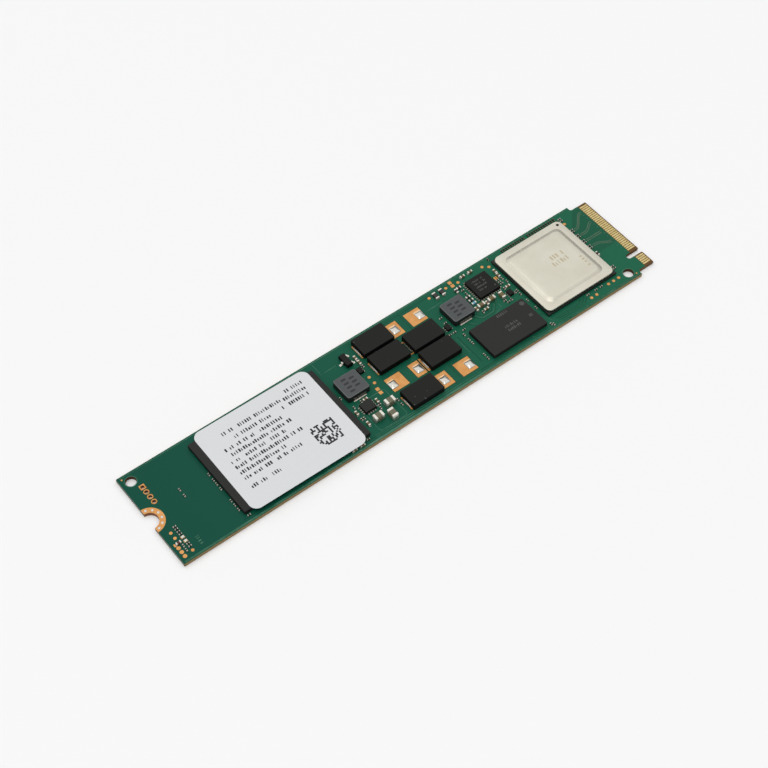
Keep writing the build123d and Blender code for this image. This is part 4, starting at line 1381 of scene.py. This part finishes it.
# End caps, and the chips that they belong to
CAPS = {
    "large_ceramic_caps": ["large_ceramic_bodies"],
    "medium_ceramic_caps": ["medium_ceramic_bodies"],
    "chip_resistor_caps": ["chip_resistor_bodies"],
    "common_chip_caps": ["ceramic_chip_bodies", "dark_chip_bodies", "bead_body", "indicator_body"],
    "small_chip_caps": ["small_chip_bodies"],
}


class DRIVE_OT_chips(bpy.types.Operator):
    """Ceramic and resistor chips with their end caps and solder fillets"""

    bl_idname = "drive.chips"
    bl_label = "Chips"

    def execute(self, context):
        look = context.scene.drive_parts
        self.bodies(look)
        self.caps(look)
        return {"FINISHED"}

    def bodies(self, look):
        """Fired bodies with faintly rounded rims."""
        corner, rim = 0.03, 0.03
        tan = moulded_material("tan_ceramic", look.ceramic)
        glass = moulded_material("resistor_glass", look.resistor)
        finishes = {
            "large_ceramic_bodies": moulded_material("olive_ceramic", look.large_ceramic),
            "medium_ceramic_bodies": tan,
            "ceramic_chip_bodies": tan,
            "small_chip_bodies": moulded_material("brown_ceramic", look.brown_ceramic),
            "chip_resistor_bodies": glass,
            "dark_chip_bodies": glass,
            "bead_body": moulded_material("bead_glaze", look.bead),
            "indicator_body": moulded_material("indicator_resin", look.indicator),
        }
        for name, finish in finishes.items():
            low, high, _ = solids_of(name)
            shape = moulded(low, high, corner, rim, steps=1, bends=1)
            piece = new_piece(f"{name}_fired", shape, finish)
            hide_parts(name)

    def caps(self, look):
        """Plated end caps with solder at their feet, duller on the smallest chips."""
        corner, flank_share, climb = 0.04, 0.25, 0.7
        tin, solder, dull = tin_material(look), solder_material(look), dull_tin_material(look)
        reach = look.fillet_reach / MM
        for name, bodies in CAPS.items():
            smallest = name == "small_chip_caps"
            rim, run = (0.035, 0.6 * reach) if smallest else (0.05, 1.6 * reach)
            low, high, _ = solids_of(name)
            shape = moulded(low, high, corner, rim, steps=1, bends=2)
            piece = new_piece(f"{name}_plated", shape, dull if smallest else tin)
            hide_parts(name)
            skirt = fillets(low, high, outward_of(low, high, bodies), run, flank_share * run, climb)
            new_piece(f"{name}_fillets", skirt, dull if smallest else solder)


# Rows of marks on the label: start and level from its centre, and length
LABEL_ROWS = [
    (-8.4, 6.9, 13.4),
    (-6.8, 5.2, 8.2),
    (-9.9, 3.6, 12.6),
    (-9.9, 2.2, 13.6),
    (-9.9, 0.8, 11.8),
    (-9.9, -0.6, 14.6),
    (-9.9, -2.0, 9.6),
    (-9.9, -3.4, 12.2),
    (-9.9, -5.6, 7.4),
    (6.6, 8.0, 3.6),
    (5.4, 6.6, 4.8),
    (4.2, 5.2, 6.0),
]


class DRIVE_OT_label(bpy.types.Operator):
    """Paper label with rows of plain printed bars and a square pattern of cells"""

    bl_idname = "drive.label"
    bl_label = "Label"

    def execute(self, context):
        look = context.scene.drive_label
        dress("product_label", grained_material("white_paper", look.paper_shade, look.paper))
        spots, half = tick_rows(np.array(LABEL_ROWS), look.mark_height / MM, np.random.default_rng(11))
        cells, code_corner, filled_share = look.code_cells, (5.2, -6.4), 0.5
        size = look.code_size / MM / cells
        column, line = np.meshgrid(np.arange(cells), np.arange(cells))
        filled = np.random.default_rng(5).random((cells, cells)) < filled_share
        code = np.stack([column[filled], line[filled]], -1) * size + code_corner
        spots = np.concatenate([spots, code])
        half = np.concatenate([half, np.full((len(code), 2), 0.5 * size)])
        # The print is turned a little against the paper
        turn = np.radians(-0.5)
        spin = np.array([[np.cos(turn), np.sin(turn)], [-np.sin(turn), np.cos(turn)]])
        low, high = solid_box("product_label")
        spots = spots @ spin + middle_of(low, high)
        marks = plates(spots, half, corner=0.03, level=high[2], rise=look.ink_rise / MM)
        ink = moulded_material("label_ink", look.ink)
        new_piece("label_print", marks, ink, smooth=False)
        return {"FINISHED"}


# Stage

SENSOR_WIDTH = 36
CAMERA_PLACE = (-116.32, -151.22, 249.06)
CAMERA_FORWARD = (0.35951, 0.48206, -0.79898)
CAMERA_RIGHT = (0.79279, -0.60940, -0.01095)


class DRIVE_OT_stage(bpy.types.Operator):
    """Pale floor, overhead softbox, room light and camera"""

    bl_idname = "drive.stage"
    bl_label = "Stage"

    def execute(self, context):
        look, scene = context.scene.drive_stage, context.scene
        self.floor(look, scene)
        self.softbox(look, scene)
        scene.world = room_light(look)
        self.camera(look, scene)
        scene.view_settings.view_transform = "Standard"
        return {"FINISHED"}

    def floor(self, look, scene):
        """A square just below the underside of the board."""
        side, depth = look.floor_size / 2, -0.02 * MM
        corners = [(-side, -side, depth), (side, -side, depth), (side, side, depth), (-side, side, depth)]
        mesh = bpy.data.meshes.new("floor")
        mesh.from_pydata(corners, [], [(0, 1, 2, 3)])
        mesh.materials.append(floor_material(look))
        floor = bpy.data.objects.new("floor", mesh)
        scene.collection.objects.link(floor)

    def softbox(self, look, scene):
        """A large square lamp that faces the board."""
        lamp = bpy.data.lights.new("softbox", "AREA")
        lamp.shape = "SQUARE"
        lamp.size = look.softbox_size
        lamp.energy = look.softbox_power
        softbox = bpy.data.objects.new("softbox", lamp)
        softbox.location = (-look.softbox_left, -look.softbox_near, look.softbox_height)
        softbox.rotation_euler = Vector(softbox.location).to_track_quat("Z", "Y").to_euler()
        scene.collection.objects.link(softbox)

    def camera(self, look, scene):
        """The photograph's viewpoint."""
        data = bpy.data.cameras.new("camera")
        data.lens = look.lens / MM
        data.sensor_width = SENSOR_WIDTH
        data.clip_start = 0.01
        forward, right = Vector(CAMERA_FORWARD).normalized(), Vector(CAMERA_RIGHT)
        right = (right - right.dot(forward) * forward).normalized()
        turned = Matrix((right, right.cross(forward), -forward)).transposed().to_4x4()
        camera = bpy.data.objects.new("camera", data)
        camera.matrix_world = Matrix.Translation(Vector(CAMERA_PLACE) * MM) @ turned
        scene.collection.objects.link(camera)
        scene.camera = camera


# Add-on

OPERATORS = (
    DRIVE_OT_board,
    DRIVE_OT_header,
    DRIVE_OT_lines,
    DRIVE_OT_packages,
    DRIVE_OT_capacitors,
    DRIVE_OT_inductors,
    DRIVE_OT_controller,
    DRIVE_OT_chips,
    DRIVE_OT_label,
    DRIVE_OT_stage,
)
LOOKS = {
    "drive_board": BoardLook,
    "drive_parts": PartLook,
    "drive_label": LabelLook,
    "drive_stage": StageLook,
}


class DRIVE_PT_looks(bpy.types.Panel):
    """The drive's pieces, in the order in which they are made"""

    bl_label = "Drive looks"
    bl_space_type = "VIEW_3D"
    bl_region_type = "UI"
    bl_category = "Drive"

    def draw(self, context):
        for operator in OPERATORS:
            self.layout.operator(operator.bl_idname)


def register():
    """Make the settings, operators and panel known to Blender."""
    for known in (*LOOKS.values(), *OPERATORS, DRIVE_PT_looks):
        bpy.utils.register_class(known)
    for name, look in LOOKS.items():
        setattr(bpy.types.Scene, name, PointerProperty(type=look))


def unregister():
    """Take the settings, operators and panel out again."""
    for name in LOOKS:
        delattr(bpy.types.Scene, name)
    for known in reversed((*LOOKS.values(), *OPERATORS, DRIVE_PT_looks)):
        bpy.utils.unregister_class(known)


def main():
    """Dress the drive piece by piece."""
    register()
    bpy.ops.drive.board()
    bpy.ops.drive.header()
    bpy.ops.drive.lines()
    bpy.ops.drive.packages()
    bpy.ops.drive.capacitors()
    bpy.ops.drive.inductors()
    bpy.ops.drive.controller()
    bpy.ops.drive.chips()
    bpy.ops.drive.label()
    bpy.ops.drive.stage()


if __name__ == "__main__":
    main()
